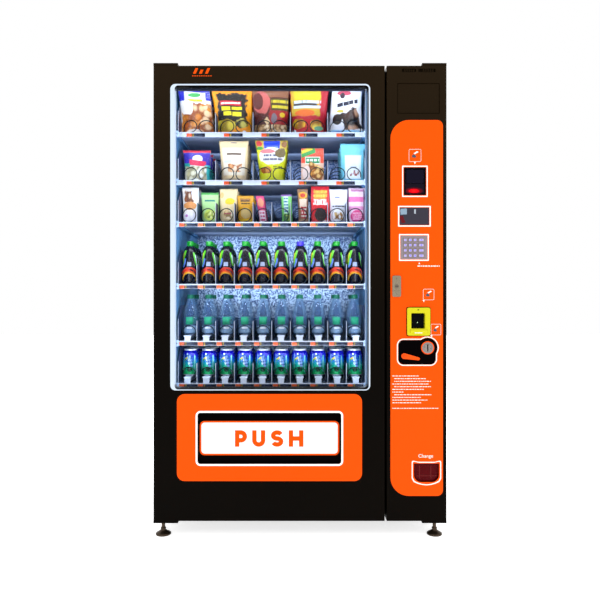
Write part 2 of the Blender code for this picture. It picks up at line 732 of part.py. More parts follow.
def make_bill_acceptor(axis):
    """A bezel with a bulging lower lip, a recessed mouth, and the validator body with its stacker behind."""
    place = ((BILL_BEZEL[0] + BILL_BEZEL[2]) / 2, DOOR_Y[0], (BILL_BEZEL[1] + BILL_BEZEL[3]) / 2)
    bezel = extruded([rounded(BILL_BEZEL, 0.008)], (-0.3945, -0.3871))
    acceptor = add_mesh("bill_acceptor", bezel, place, "yellow_plastic", axis)
    lip_radius = 0.0105
    lip_y, lip_z = FRONT_Y + lip_radius, BILL_BODY[1] + lip_radius
    lip_inset = 0.001
    start = (BILL_BODY[0] + lip_inset, lip_y, lip_z)
    join(acceptor, rod(start, (BILL_BODY[2] - lip_inset, lip_y, lip_z), lip_radius))
    join(acceptor, slab(BILL_BODY, (-0.3880, -0.300)))
    join(acceptor, slab((0.440, BILL_BODY[1], 0.526, 1.100), (-0.320, -0.225)))
    cut(acceptor, extruded([rounded(BILL_MOUTH, 0.004, 3)], (FRONT_Y - 0.002, -0.3725)))
    cut(acceptor, slab((0.456, 0.8700, 0.5055, 0.8745), (-0.374, -0.330)))


def make_coin_mechanism(axis):
    place = (COIN_DISC[0], DOOR_Y[0], COIN_DISC[1])
    plate_y = (-0.3895, -0.3871)
    plate = extruded([rounded(COIN_PLATE, 0.021)], plate_y)
    coin = add_mesh("coin_mechanism", plate, place, "black_plastic", axis)
    x, z = COIN_DISC
    join(coin, extruded([circle((x, z), COIN_BUMP_RADIUS, 32)], plate_y))
    join(coin, slab(COIN_BODY, (-0.3880, -0.230)))
    join(coin, rod((x, -0.3915, z), (x, -0.3885, z), COIN_DISC_RADIUS, 24))
    cut(coin, slab((x - 0.0018, z - 0.0150, x + 0.0018, z + 0.0150), (-0.393, -0.365)))
    pivot_x, pivot_z = LEVER_PIVOT
    cut(coin, rod((pivot_x, -0.392, pivot_z), (pivot_x, -0.380, pivot_z), 0.0036))


def make_coin_lever(axis):
    pivot_x, pivot_z = LEVER_PIVOT
    place = (pivot_x, LEVER_Y[0], pivot_z)
    outline = tapered_link(LEVER_PIVOT, LEVER_TIP, LEVER_RADII)
    lever = add_mesh("coin_return_lever", extruded([outline], LEVER_Y), place, "orange_plastic", axis)
    start = (pivot_x, LEVER_Y[0] + 0.002, pivot_z)
    join(lever, rod(start, (pivot_x, -0.381, pivot_z), LEVER_SHAFT_RADIUS, 12))


def make_change_cup(axis):
    """A cup behind the door with a mouth through it, and the flap that hangs in the mouth."""
    place = (CUP_BODY[0], DOOR_Y[0], CUP_BODY[1])
    cup = add_mesh("change_cup", slab(CUP_BODY, CUP_DEPTH_Y), place, "black_plastic", axis)
    mouth_corners = (CUP_CORNER, CUP_CORNER, 0.002, 0.002)
    cut(cup, extruded([rounded(CUP_MOUTH, mouth_corners, 6)], (-0.395, -0.375)))
    cavity = (CUP_MOUTH[0], CUP_BODY[1] + 0.004, CUP_MOUTH[2], CUP_MOUTH[3])
    cut(cup, slab(cavity, (-0.376, CUP_DEPTH_Y[1] - 0.010)))
    middle_x = (CUP_MOUTH[0] + CUP_MOUTH[2]) / 2
    pivot = (middle_x, CHANGE_AXIS_Y, CHANGE_AXIS_Z)
    bore_half = (CUP_MOUTH[2] - CUP_MOUTH[0]) / 2 + 0.0023
    start = (middle_x - bore_half, CHANGE_AXIS_Y, CHANGE_AXIS_Z)
    end = (middle_x + bore_half, CHANGE_AXIS_Y, CHANGE_AXIS_Z)
    cut(cup, rod(start, end, 0.0020, 12))
    flap_axis = axis_empty("change_flap_axis", pivot, axis)
    rect = (CUP_MOUTH[0] + 0.0012, CUP_MOUTH[1] + 0.0017, CUP_MOUTH[2] - 0.0012, CUP_MOUTH[3] - 0.002)
    half = CHANGE_FLAP_THICKNESS / 2
    outline = rounded(rect, (CUP_CORNER, CUP_CORNER, 0.001, 0.001), 6)
    shape = extruded([outline], (CHANGE_AXIS_Y - half, CHANGE_AXIS_Y + half))
    flap = add_mesh("change_flap", shape, pivot, "red_clear", flap_axis)
    for x, reach in ((rect[0], -1), (rect[2], 1)):
        start = (x - reach * 0.004, CHANGE_AXIS_Y, CHANGE_AXIS_Z)
        end = (x + reach * 0.0030, CHANGE_AXIS_Y, CHANGE_AXIS_Z)
        join(flap, rod(start, end, CHANGE_PIN_RADIUS * 0.98, 12))


def make_lock(axis):
    """The handle plate, its shaft through the door, and the cam behind it."""
    x, z = LOCK_PIVOT
    plate = extruded([rounded(LOCK_PLATE, 0.006, 3)], (-0.3940, -0.3885))
    lock = add_mesh("lock_handle", plate, (x, -0.3885, z), "nickel", axis)
    join(lock, rod((x, -0.3895, z), (x, -0.3155, z), LOCK_SHAFT_RADIUS))
    join(lock, slab((x - 0.038, z - 0.007, x + 0.007, z + 0.007), (-0.3190, -0.3150)))


def main():
    make_shell()
    make_feet()
    make_hinge_plates()
    make_trays()
    make_spirals()
    make_insides()
    make_delivery_flap(make_main_door())
    payment_axis = make_payment_door()
    make_screens(payment_axis)
    make_keypad(payment_axis)
    make_bill_acceptor(payment_axis)
    make_coin_mechanism(payment_axis)
    make_coin_lever(payment_axis)
    make_change_cup(payment_axis)
    make_lock(payment_axis)


main()
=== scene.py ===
"""Looks for the snack vending machine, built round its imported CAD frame: finishes for the CAD parts, the liners,
lamps, labels and fittings that CAD leaves out, and the stock that stands on the trays."""

import json
import math
import random

import bmesh
import bpy
from mathutils import Matrix, Vector, noise

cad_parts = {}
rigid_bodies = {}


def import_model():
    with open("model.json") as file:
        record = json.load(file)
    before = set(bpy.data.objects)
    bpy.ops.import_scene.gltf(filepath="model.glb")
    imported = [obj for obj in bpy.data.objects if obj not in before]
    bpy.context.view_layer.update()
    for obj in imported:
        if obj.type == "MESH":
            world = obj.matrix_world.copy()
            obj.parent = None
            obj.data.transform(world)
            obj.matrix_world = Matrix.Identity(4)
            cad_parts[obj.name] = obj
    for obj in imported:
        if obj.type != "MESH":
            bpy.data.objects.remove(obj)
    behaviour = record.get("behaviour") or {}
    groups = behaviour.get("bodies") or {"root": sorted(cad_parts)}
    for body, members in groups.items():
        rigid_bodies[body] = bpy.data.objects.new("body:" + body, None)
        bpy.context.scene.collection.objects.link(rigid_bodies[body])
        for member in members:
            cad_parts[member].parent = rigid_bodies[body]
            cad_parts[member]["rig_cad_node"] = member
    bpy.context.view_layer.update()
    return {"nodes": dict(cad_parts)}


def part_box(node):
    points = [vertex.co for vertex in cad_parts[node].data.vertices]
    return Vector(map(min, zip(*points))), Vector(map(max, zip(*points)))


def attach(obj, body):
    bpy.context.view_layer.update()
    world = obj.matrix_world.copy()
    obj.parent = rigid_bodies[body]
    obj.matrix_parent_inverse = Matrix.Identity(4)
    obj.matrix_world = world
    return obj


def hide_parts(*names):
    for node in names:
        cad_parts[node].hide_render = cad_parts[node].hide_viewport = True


# Places and sizes repeated from the CAD source, in metres. X is right, Y is back, Z is up.
FRONT_Y = -0.400
DOOR_FRONT_Y = -0.385
SKIN_FRONT_Y = -0.3868
MODULE_FRONT_Y = -0.3876
CHAMBER_X = (-0.540, 0.290)
CHAMBER_BACK_Y = 0.345
CHAMBER_Z = (0.560, 1.880)
SHELL_FRONT_Y = -0.322
WINDOW = (-0.524, 0.607, 0.280, 1.851)
TRAY_X = (-0.530, 0.284)
TRAY_FRONT_Y = -0.228
TRAY_BACK_Y = 0.273
RAIL_TOPS = (1.698, 1.490, 1.3085, 1.0395, 0.793, 0.609)
LANE_COUNTS = (5, 5, 10, 10, 10, 10)
RAIL_HEIGHT = 0.021
RAIL_LIP = 0.004
LANES_WIDTH = 0.812
SPIRAL_RADIUS = 0.032
SPIRAL_WIRE = 0.0022
SPIRAL_LIFT = 0.0365
SPIRAL_Y = (-0.2195, 0.262)
PAIR_SPACING = 0.073
POINTS_PER_TURN = 26
DELIVERY = (-0.418, 0.301, 0.1685, 0.510)
PUSH_PLATE = (-0.411, 0.3335, 0.161, 0.474)
PUSH_PLATE_Y = -0.3725
SCANNER = (0.4240, 1.3980, 0.5130, 1.5100)
DISPLAY = (0.4070, 1.2764, 0.5260, 1.3466)
KEYPAD = (0.4110, 1.1370, 0.5180, 1.2315)
KEY_COLUMNS = (0.4288, 0.4492, 0.4687, 0.4944)
KEY_ROWS = (1.2148, 1.1936, 1.1720, 1.1507)
KEY_FRONT_Y = -0.3904
BILL_BEZEL = (0.436, 0.825, 0.530, 0.939)
BILL_MOUTH = (0.4525, 0.8537, 0.509, 0.9166)
BILL_MOUTH_Y = -0.3725
COIN_PLATE = (0.401, 0.7076, 0.553, 0.8064)
COIN_DISC = (0.5198, 0.7754)
COIN_DISC_Y = -0.3915
COIN_BUMP_RADIUS = 0.040
CUP_BODY = (0.4612, 0.2160, 0.5698, 0.3075)
CUP_MOUTH = (0.4643, 0.2278, 0.5667, 0.3035)
CUP_CORNER = 0.030
CUP_FRONT_Y = -0.3872
LOCK_PIVOT = (0.3935, 1.026)
LOCK_FRONT_Y = -0.394
LEVER_PIVOT = (0.4235, 0.742)
LEVER_FRONT_Y = -0.3965
EMBOSS = (0.397, 1.7305, 0.570, 1.855)

FILM = 0.0003  # how far printed film stands off the surface under it
CAMERA_HEIGHT = 0.970
CAMERA_Y = -2.885
CAMERA_LENS = 36.76


def srgb(red, green, blue):
    """A linear colour from the 0-255 values a screen shows."""
    parts = [value / 255 for value in (red, green, blue)]
    return (*(p / 12.92 if p <= 0.04045 else ((p + 0.055) / 1.055) ** 2.4 for p in parts), 1.0)


ORANGE = srgb(238, 79, 1)
WHITE = srgb(250, 250, 250)
BLACK = srgb(14, 12, 12)
INK = srgb(30, 28, 34)

# ---------------------------------------------------------------- materials

SHADER_SOCKETS = {
    "metallic": "Metallic",
    "alpha": "Alpha",
    "specular": "Specular IOR Level",
    "coat": "Coat Weight",
    "coat_rough": "Coat Roughness",
    "glow": "Emission Color",
    "glow_strength": "Emission Strength",
    "transmission": "Transmission Weight",
    "ior": "IOR",
    "anisotropic": "Anisotropic",
}


class Graph:
    """One material: a Principled shader and the nodes that feed it, written with short calls."""

    def __init__(self, name, **constants):
        self.material = bpy.data.materials.new(name)
        self.material.use_nodes = True
        self.tree = self.material.node_tree
        self.shader = self.tree.nodes["Principled BSDF"]
        self.coordinates = self.tree.nodes.new("ShaderNodeTexCoord")
        self.place = self.coordinates.outputs["Object"]
        self.print = self.coordinates.outputs["UV"]
        for name, value in constants.items():
            self.shader.inputs[SHADER_SOCKETS[name]].default_value = value

    def node(self, kind, inputs=(), output=0, **settings):
        """The output of a new node. inputs maps socket names or numbers to values or to other outputs."""
        node = self.tree.nodes.new("ShaderNode" + kind)
        for name, value in settings.items():
            setattr(node, name, value)
        for socket, value in dict(inputs).items():
            self.feed(node.inputs[socket], value)
        return node.outputs[output]

    def feed(self, socket, value):
        if isinstance(value, bpy.types.NodeSocket):
            self.tree.links.new(value, socket)
        else:
            socket.default_value = value

    def math(self, operation, *values, clamp=False):
        return self.node("Math", enumerate(values), operation=operation, use_clamp=clamp)

    def times(self, *values):
        return self.math("MULTIPLY", *values)

    def plus(self, *values, clamp=False):
        return self.math("ADD", *values, clamp=clamp)

    def minus(self, *values, clamp=False):
        return self.math("SUBTRACT", *values, clamp=clamp)

    def vector(self, operation, *values):
        return self.node("VectorMath", enumerate(values), operation=operation)

    def mix(self, mask, under, over, blend="MIX"):
        return self.node("Mix", {0: mask, 6: under, 7: over}, 2, data_type="RGBA", blend_type=blend)

    def between(self, value, low, high):
        """0 below low, 1 above high, and smooth between them."""
        return self.node(
            "MapRange", {"Value": value, "From Min": low, "From Max": high}, interpolation_type="SMOOTHSTEP"
        )

    def noise(self, scale, detail=3.0, stretch=None, at=None, distortion=0.0, roughness=0.5):
        at = at or self.place
        if stretch:
            at = self.vector("MULTIPLY", at, stretch)
        inputs = {"Vector": at, "Scale": scale, "Detail": detail, "Roughness": roughness, "Distortion": distortion}
        return self.node("TexNoise", inputs, "Fac")

    def ramp(self, value, stops, interpolation="LINEAR"):
        node = self.tree.nodes.new("ShaderNodeValToRGB")
        ramp = node.color_ramp
        ramp.interpolation = interpolation
        while len(ramp.elements) < len(stops):
            ramp.elements.new(0.5)
        for element, (position, colour) in zip(ramp.elements, stops):
            element.position, element.color = position, colour
        self.feed(node.inputs[0], value)
        return node.outputs[0]

    def parts(self, vector):
        node = self.tree.nodes.new("ShaderNodeSeparateXYZ")
        self.feed(node.inputs[0], vector)
        return node.outputs

    def bump(self, height, strength, distance=0.001):
        normal = self.node("Bump", {"Height": height, "Strength": strength, "Distance": distance}, "Normal")
        self.feed(self.shader.inputs["Normal"], normal)

    def colour(self, value):
        self.feed(self.shader.inputs["Base Color"], value)

    def rough(self, value):
        self.feed(self.shader.inputs["Roughness"], value)

    def rough_from(self, pattern, share, least):
        """Roughness that rises from least by a share of a pattern."""
        self.rough(self.plus(self.times(pattern, share), least))

    def glow(self, value, strength):
        self.feed(self.shader.inputs["Emission Color"], value)
        self.shader.inputs["Emission Strength"].default_value = strength


def shade(colour, factor):
    return (*(min(1.0, part * factor) for part in colour[:3]), 1.0)


def finish(name, colour, rough, varied=0.10, grain=260.0, bump=0.10, relief=0.0004, stretch=None, **constants):
    """A finish whose colour drifts slowly, whose gloss is a little uneven, and whose surface has a fine grain."""
    g = Graph(name, **constants)
    drift = g.noise(3.5, 4.0, stretch)
    fine = g.noise(grain, 3.0, stretch)
    blotch = g.mix(drift, shade(colour, 1 - varied), shade(colour, 1 + varied))
    g.colour(g.mix(g.times(fine, 0.25), blotch, shade(colour, 1 - 2 * varied)))
    g.rough(g.plus(g.times(g.minus(drift, 0.5), 0.18), rough, clamp=True))
    if bump:
        g.bump(fine, bump, relief)
    return g.material


def chamber_mask(g):
    """1 on the faces that look into the refrigerated chamber, 0 outside it, from the place in the frame."""
    edge = 0.0006
    limits = (CHAMBER_X, (SHELL_FRONT_Y + 2 * edge, CHAMBER_BACK_Y), CHAMBER_Z)
    mask = 1.0
    for value, (low, high) in zip(g.parts(g.place), limits):
        mask = g.times(mask, g.math("GREATER_THAN", value, low - edge))
        mask = g.times(mask, g.math("LESS_THAN", value, high + edge))
    return mask


def shell_paint(name, colour, liner_colour):
    """Powder coat outside, with painted light in its colour: darker towards the bottom and lighter towards the top,
    and pale enamelled liner on the faces inside the chamber.
    """
    g = Graph(name, specular=0.03)
    drift, fine = g.noise(2.5, 4.0), g.noise(900.0, 2.0)
    _, _, height = g.parts(g.place)
    # Painted light: the outside paint runs from a tenth of its colour at the bottom to half again as bright near the
    # top, from 0.7 m to 2.0 m high, standing in for light from above.
    painted_light_gradient = g.mix(g.between(height, 0.7, 2.0), shade(colour, 0.10), shade(colour, 1.45))
    coat = g.mix(g.times(drift, 0.3), painted_light_gradient, shade(colour, 0.7))
    liner = g.mix(drift, shade(liner_colour, 0.93), shade(liner_colour, 1.05))
    mask = chamber_mask(g)
    g.colour(g.mix(mask, coat, liner))
    g.rough_from(drift, 0.14, 0.40)
    g.bump(fine, 0.16, 0.0003)
    return g.material


def spangled(name, colour, rough=0.38, metallic=0.85):
    """Galvanised sheet, with the crystal patches that zinc leaves."""
    g = Graph(name, metallic=metallic)
    cells = g.node("TexVoronoi", {"Vector": g.place, "Scale": 95.0}, "Color")
    spangle = g.node("RGBToBW", {0: cells})
    g.colour(g.mix(g.times(spangle, 0.6), shade(colour, 0.86), shade(colour, 1.12)))
    g.rough_from(spangle, 0.2, rough - 0.1)
    g.bump(g.noise(420.0, 2.0), 0.06, 0.0003)
    return g.material


def tray_enamel():
    """White at each tray's rail and front edges and dark blue-grey above its floor; underneath, a pale painted light,
    full on the trays above 1.1 m and at about a third on the lower ones.
    """
    g = Graph("tray_sheet", specular=0.3)
    drift = g.noise(4.0, 3.0)
    _, y, z = g.parts(g.place)
    front = g.mix(drift, srgb(166, 176, 196), srgb(186, 194, 210))
    # Painted light: the heights from each rail's bottom up to its floor, where the tray's underside lies, get the pale
    # painted light, full above 1.1 m and at 0.35 below.
    bands = [(0.0, 0.0)]
    for top in sorted(RAIL_TOPS):
        bands += [(top - RAIL_HEIGHT - 0.001, 1.0 if top > 1.1 else 0.35), (top - RAIL_LIP - 0.0003, 0.0)]
    stops = [(at / 2.0, (value, value, value, 1.0)) for at, value in bands]
    below = g.ramp(g.math("DIVIDE", z, 2.0), stops, "CONSTANT")
    upper = g.mix(drift, srgb(30, 40, 76), srgb(56, 70, 108))
    # The pale underside colour is painted light from below.
    under = g.mix(drift, srgb(146, 164, 206), srgb(174, 190, 224))
    behind = g.mix(below, upper, under)
    g.colour(g.mix(g.between(y, TRAY_FRONT_Y + 0.0035, TRAY_FRONT_Y + 0.0075), front, behind))
    g.rough_from(drift, 0.1, 0.32)
    g.bump(g.noise(500.0), 0.05, 0.0003)
    return g.material


def glass(name, tint, alpha, rough=0.04, smudge=0.05, **constants):
    """Clear glass or plastic: thin, faintly tinted, with a few soft smudges in its gloss."""
    g = Graph(name, alpha=alpha, **constants)
    smudges = g.noise(6.0, 5.0)
    g.colour(g.mix(smudges, shade(tint, 0.96), shade(tint, 1.04)))
    g.rough_from(g.between(smudges, 0.5, 0.75), smudge, rough)
    return g.material


def lamp(name, colour, strength):
    """A lit diffuser, slightly brighter over each diode behind it."""
    g = Graph(name)
    dots = g.node("TexWave", {"Vector": g.place, "Scale": 22.0, "Distortion": 0.0}, "Fac", bands_direction="Z")
    light = g.mix(g.times(dots, 0.25), shade(colour, 0.92), colour)
    g.colour(light)
    g.glow(light, strength)
    g.rough(0.35)
    return g.material


# ---------------------------------------------------------------- printed packages


class Print(Graph):
    """A package's printed face. Shapes are laid over each other in the UV square of the face, 0 to 1."""

    def __init__(self, name, ground, **constants):
        super().__init__(name, **constants)
        self.wobble = self.noise(7.0, 4.0, at=self.print)
        self.ink = ground

    def away(self, box, tilt=0.0):
        """How far each point is from the middle of box, in half-widths and half-heights."""
        x0, y0, x1, y1 = box
        middle = ((x0 + x1) / 2, (y0 + y1) / 2, 0.0)
        offset = self.vector("SUBTRACT", self.print, middle)
        if tilt:
            inputs = {"Vector": offset, "Angle": math.radians(tilt)}
            offset = self.node("VectorRotate", inputs, rotation_type="Z_AXIS")
        return self.vector("DIVIDE", offset, ((x1 - x0) / 2, (y1 - y0) / 2, 1.0))

    def inside(self, box, tilt=0.0, ragged=0.0, soft=0.06, round_shape=False):
        x, y, _ = self.parts(self.away(box, tilt))
        if round_shape:
            distance = self.math("SQRT", self.plus(self.math("POWER", x, 2.0), self.math("POWER", y, 2.0)))
        else:
            distance = self.math("MAXIMUM", self.math("ABSOLUTE", x), self.math("ABSOLUTE", y))
        if ragged:
            distance = self.plus(distance, self.times(self.minus(self.wobble, 0.5), ragged))
        return self.minus(1.0, self.between(distance, 1 - soft, 1 + soft))

    def over(self, mask, colour):
        self.ink = self.mix(mask, self.ink, colour)

    def block(self, box, colour, tilt=0.0, ragged=0.0):
        self.over(self.inside(box, tilt, ragged), colour)

    def oval(self, box, colour, tilt=0.0, ragged=0.0):
        self.over(self.inside(box, tilt, ragged, round_shape=True), colour)

    def ring(self, box, colour, width=0.12):
        outer = self.inside(box, round_shape=True)
        x0, y0, x1, y1 = box
        dx, dy = (x1 - x0) / 2 * width, (y1 - y0) / 2 * width
        inner = self.inside((x0 + dx, y0 + dy, x1 - dx, y1 - dy), round_shape=True)
        self.over(self.minus(outer, inner, clamp=True), colour)

    def crumbs(self, box, colours, scale=14.0, aspect=1.0, ragged=0.5, tilt=0.0, round_shape=False):
        """A heap of small pieces of food in three colours, each dark at its edge."""
        at = self.vector("MULTIPLY", self.print, (1.0, aspect, 1.0))
        inputs = {"Vector": at, "Scale": scale, "Randomness": 0.9}
        patch = self.node("RGBToBW", {0: self.node("TexVoronoi", inputs, "Color")})
        edge = self.node("TexVoronoi", inputs, "Distance")
        dark, mid, light = colours
        food = self.ramp(patch, ((0.15, dark), (0.45, mid), (0.75, light)))
        food = self.mix(self.between(edge, 0.35, 0.75), food, shade(dark, 0.6))
        self.over(self.inside(box, tilt, ragged, round_shape=round_shape), food)

    def marks(self, box, colour, rows=3.0, tilt=0.0, density=0.46, scale=16.0):
        """Rows of short illegible dashes, where a package has small print."""
        x, y, _ = self.parts(self.away(box, tilt))
        row = self.times(self.plus(y, 1.0), rows / 2)
        in_row = self.between(self.math("PINGPONG", row, 0.5), 0.20, 0.26)
        letters = self.node("CombineXYZ", {0: self.times(x, scale / 4), 1: self.math("FLOOR", row)})
        dashes = self.node("TexNoise", {"Vector": letters, "Scale": 2.2, "Detail": 3.0}, "Fac")
        mask = self.times(in_row, self.between(dashes, density, density + 0.03))
        self.over(self.times(mask, self.inside(box, tilt)), colour)

    def done(self, rough=0.34, creases=0.35, crease_scale=9.0, seals=True):
        """Closes the print with the film's creases and, on a bag, its crimped ends."""
        wash = self.noise(2.5, 3.0, at=self.print)
        self.colour(self.mix(0.16, self.ink, self.mix(wash, BLACK, WHITE), blend="SOFT_LIGHT"))
        self.rough_from(self.wobble, 0.16, rough - 0.08)
        ridges = self.math("PINGPONG", self.noise(crease_scale, 4.0, distortion=0.6), 0.18)
        if seals:
            _, y, _ = self.parts(self.print)
            end = self.math("ABSOLUTE", self.minus(y, 0.5))
            ribs = self.times(self.math("SINE", self.times(y, 620.0)), 0.05)
            ridges = self.plus(ridges, self.times(ribs, self.math("GREATER_THAN", end, 0.462)))
        self.bump(ridges, creases, 0.02)
        return self.material


# ---------------------------------------------------------------- shapes


def rounded(box, radius, steps=6):
    """Points round a box in the XZ plane, anticlockwise. radius is one number or one per corner, from lower left."""
    x0, z0, x1, z1 = box
    radii = radius if isinstance(radius, tuple) else (radius,) * 4
    corners = ((x0, z0, 1, 1, 180), (x1, z0, -1, 1, 270), (x1, z1, -1, -1, 0), (x0, z1, 1, -1, 90))
    points = []
    for (x, z, inward_x, inward_z, start), r in zip(corners, radii):
        for i in range(steps + 1):
            angle = math.radians(start + 90 * i / steps)
            points.append((x + inward_x * r + r * math.cos(angle), z + inward_z * r + r * math.sin(angle)))
    return points


def circle(x, z, radius, steps=32):
    return [
        (x + radius * math.cos(2 * math.pi * i / steps), z + radius * math.sin(2 * math.pi * i / steps))
        for i in range(steps)
    ]


def corners(box):
    """The four corners of a box, from its lower left and round to the right."""
    x0, z0, x1, z1 = box
    return [(x0, z0), (x1, z0), (x1, z1), (x0, z1)]


def grown(box, by):
    x0, z0, x1, z1 = box
    return (x0 - by, z0 - by, x1 + by, z1 + by)


class Shape:
    """A mesh under construction, in the row frame. Each call adds one closed form in the current material."""

    def __init__(self):
        self.bm = bmesh.new()
        self.uv = self.bm.loops.layers.uv.new("UVMap")
        self.material = 0
        self.smooth = False

    def face(self, vertices, uvs=None):
        face = self.bm.faces.new(vertices)
        face.material_index = self.material
        face.smooth = self.smooth
        if uvs:
            for loop, uv in zip(face.loops, uvs):
                loop[self.uv].uv = uv
        return face

    def prism(self, outline, y_front, y_back, uv_box=None):
        """An outline in the XZ plane, carried from y_front to y_back."""
        x0, z0, x1, z1 = uv_box or (0, 0, 1, 1)

        def uv(point):
            return ((point[0] - x0) / (x1 - x0), (point[1] - z0) / (z1 - z0))

        front = [self.bm.verts.new((x, y_front, z)) for x, z in outline]
        back = [self.bm.verts.new((x, y_back, z)) for x, z in outline]
        uvs = [uv(point) for point in outline]
        self.face(front, uvs)
        self.face(back[::-1], uvs[::-1])
        count = len(outline)
        for i in range(count):
            j = (i + 1) % count
            self.face((front[j], front[i], back[i], back[j]), (uvs[j], uvs[i], uvs[i], uvs[j]))

    def slab(self, box, radius, y_front, y_back, steps=6, uv_box=None):
        """A flat block with rounded corners."""
        self.prism(rounded(box, radius, steps), y_front, y_back, uv_box)

    def pin(self, x, z, y_front, y_back, radius, sides):
        """A short round bar that points forward."""
        self.tube([(x, y_front, z), (x, y_back, z)], radius, sides)

    def frame(self, outer, inner, y_front, y_back):
        """The band between two outlines that have the same number of points."""
        rings = [
            [self.bm.verts.new((x, y, z)) for x, z in outline]
            for outline, y in ((outer, y_front), (inner, y_front), (inner, y_back), (outer, y_back))
        ]
        count = len(outer)
        for ring, following in zip(rings, rings[1:] + rings[:1]):
            for i in range(count):
                j = (i + 1) % count
                self.face((ring[i], ring[j], following[j], following[i]))

    def box(self, low, high):
        self.prism(corners((low[0], low[2], high[0], high[2])), low[1], high[1])

    def tube(self, path, radius, sides=8):
        """A round bar along a path of points. Its rings turn with the path and don't twist."""
        points = [Vector(point) for point in path]
        normal = None
        rings = []
        for i, point in enumerate(points):
            ahead = points[min(i + 1, len(points) - 1)] - points[max(i - 1, 0)]
            ahead.normalize()
            if normal is None:
                normal = ahead.orthogonal().normalized()
            normal = (normal - ahead * normal.dot(ahead)).normalized()
            side = ahead.cross(normal)
            angles = [2 * math.pi * k / sides for k in range(sides)]
            rings.append(
                [self.bm.verts.new(point + radius * (math.cos(a) * normal + math.sin(a) * side)) for a in angles]
            )
        for ring, following in zip(rings, rings[1:]):
            for k in range(sides):
                m = (k + 1) % sides
                self.face((ring[k], ring[m], following[m], following[k]))
        self.face(rings[0][::-1])
        self.face(rings[-1])

    def turned(self, profile, centre, segments=40, ribs=0.0):
        """A profile of (radius, height) points turned round a vertical axis. U runs round from the back, V up."""
        low, high = profile[0][1], profile[-1][1]
        cx, cy, cz = centre
        rings = []
        for radius, height in profile:
            ring = []
            for k in range(segments):
                angle = 2 * math.pi * k / segments + math.pi / 2
                r = radius * (1 + (ribs if k % 2 else 0.0))
                ring.append(self.bm.verts.new((cx + r * math.cos(angle), cy + r * math.sin(angle), cz + height)))
            rings.append(ring)
        for (ring, (_, z0)), (following, (_, z1)) in zip(
            zip(rings, profile), list(zip(rings, profile))[1:]
        ):
            v0, v1 = (z0 - low) / (high - low), (z1 - low) / (high - low)
            for k in range(segments):
                m = (k + 1) % segments
                u0, u1 = k / segments, (k + 1) / segments
                self.face((ring[k], ring[m], following[m], following[k]), ((u0, v0), (u1, v0), (u1, v1), (u0, v1)))
        self.face(rings[0][::-1])
        self.face(rings[-1])

    def lettering(self, text, size, centre, y, depth, weight):
        """Raised generic lettering that faces forward, with its middle at centre (x, z)."""
        curve = bpy.data.curves.new("lettering", "FONT")
        curve.body = text
        curve.size = size
        curve.offset = weight
        curve.extrude = depth / 2
        curve.resolution_u = 4
        curve.align_x = "CENTER"
        curve.align_y = "CENTER"
        holder = bpy.data.objects.new("lettering", curve)
        bpy.context.scene.collection.objects.link(holder)
        bpy.context.view_layer.update()
        mesh = bpy.data.meshes.new_from_object(holder.evaluated_get(bpy.context.evaluated_depsgraph_get()))
        upright = Matrix.Rotation(math.pi / 2, 4, "X")
        mesh.transform(Matrix.Translation((centre[0], y + depth / 2, centre[1])) @ upright)
        first = len(self.bm.faces)
        self.bm.from_mesh(mesh)
        self.bm.faces.ensure_lookup_table()
        for face in self.bm.faces[first:]:
            face.material_index = self.material
        bpy.data.objects.remove(holder)
        bpy.data.curves.remove(curve)
        bpy.data.meshes.remove(mesh)

    def mesh(self, name):
        bmesh.ops.recalc_face_normals(self.bm, faces=self.bm.faces)
        mesh = bpy.data.meshes.new(name)
        self.bm.to_mesh(mesh)
        self.bm.free()
        return mesh


def soften(obj, width, segments=2, angle=35.0):
    """Rounds the sharp edges of a piece or, after welding its triangles, of a CAD node."""
    if "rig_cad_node" in obj:
        weld = obj.modifiers.new("weld", "WELD")
        weld.merge_threshold = 0.00002
        flat = obj.modifiers.new("flat", "DECIMATE")
        flat.decimate_type = "DISSOLVE"
        flat.angle_limit = math.radians(0.6)
    bevel = obj.modifiers.new("soft_edges", "BEVEL")
    bevel.width = width
    bevel.segments = segments
    bevel.limit_method = "ANGLE"
    bevel.angle_limit = math.radians(angle)
    bevel.use_clamp_overlap = True
    bevel.harden_normals = True
    return obj


def place(name, shape, materials, body, edge=0.0, replaces=(), at=None):
    """Makes a finished piece of a Shape or a mesh and rides it on its body."""
    mesh = shape.mesh(name) if isinstance(shape, Shape) else shape
    if not mesh.materials:
        for material in materials if isinstance(materials, (list, tuple)) else [materials]:
            mesh.materials.append(material)
    obj = bpy.data.objects.new(name, mesh)
    bpy.context.scene.collection.objects.link(obj)
    if at is not None:
        obj.matrix_world = at
    if edge:
        soften(obj, edge)
    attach(obj, body)
    if replaces:
        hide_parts(*replaces)
    return obj


# ---------------------------------------------------------------- frame, camera, light

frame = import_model()


def make_camera():
    camera = bpy.data.objects.new("camera", bpy.data.cameras.new("camera"))
    camera.data.lens = CAMERA_LENS
    camera.data.sensor_width = 36.0
    camera.location = (0.0, CAMERA_Y, CAMERA_HEIGHT)
    camera.rotation_euler = (math.pi / 2, 0.0, 0.0)
    bpy.context.scene.collection.objects.link(camera)
    bpy.context.scene.camera = camera


def area_light(name, location, target, size, power, colour=(1.0, 1.0, 1.0)):
    data = bpy.data.lights.new(name, "AREA")
    data.shape = "RECTANGLE"
    data.size, data.size_y = size
    data.energy = power
    data.color = colour
    light = bpy.data.objects.new(name, data)
    light.location = location
    aim = Vector(target) - Vector(location)
    light.rotation_euler = aim.to_track_quat("-Z", "Y").to_euler()
    bpy.context.scene.collection.objects.link(light)
    return light


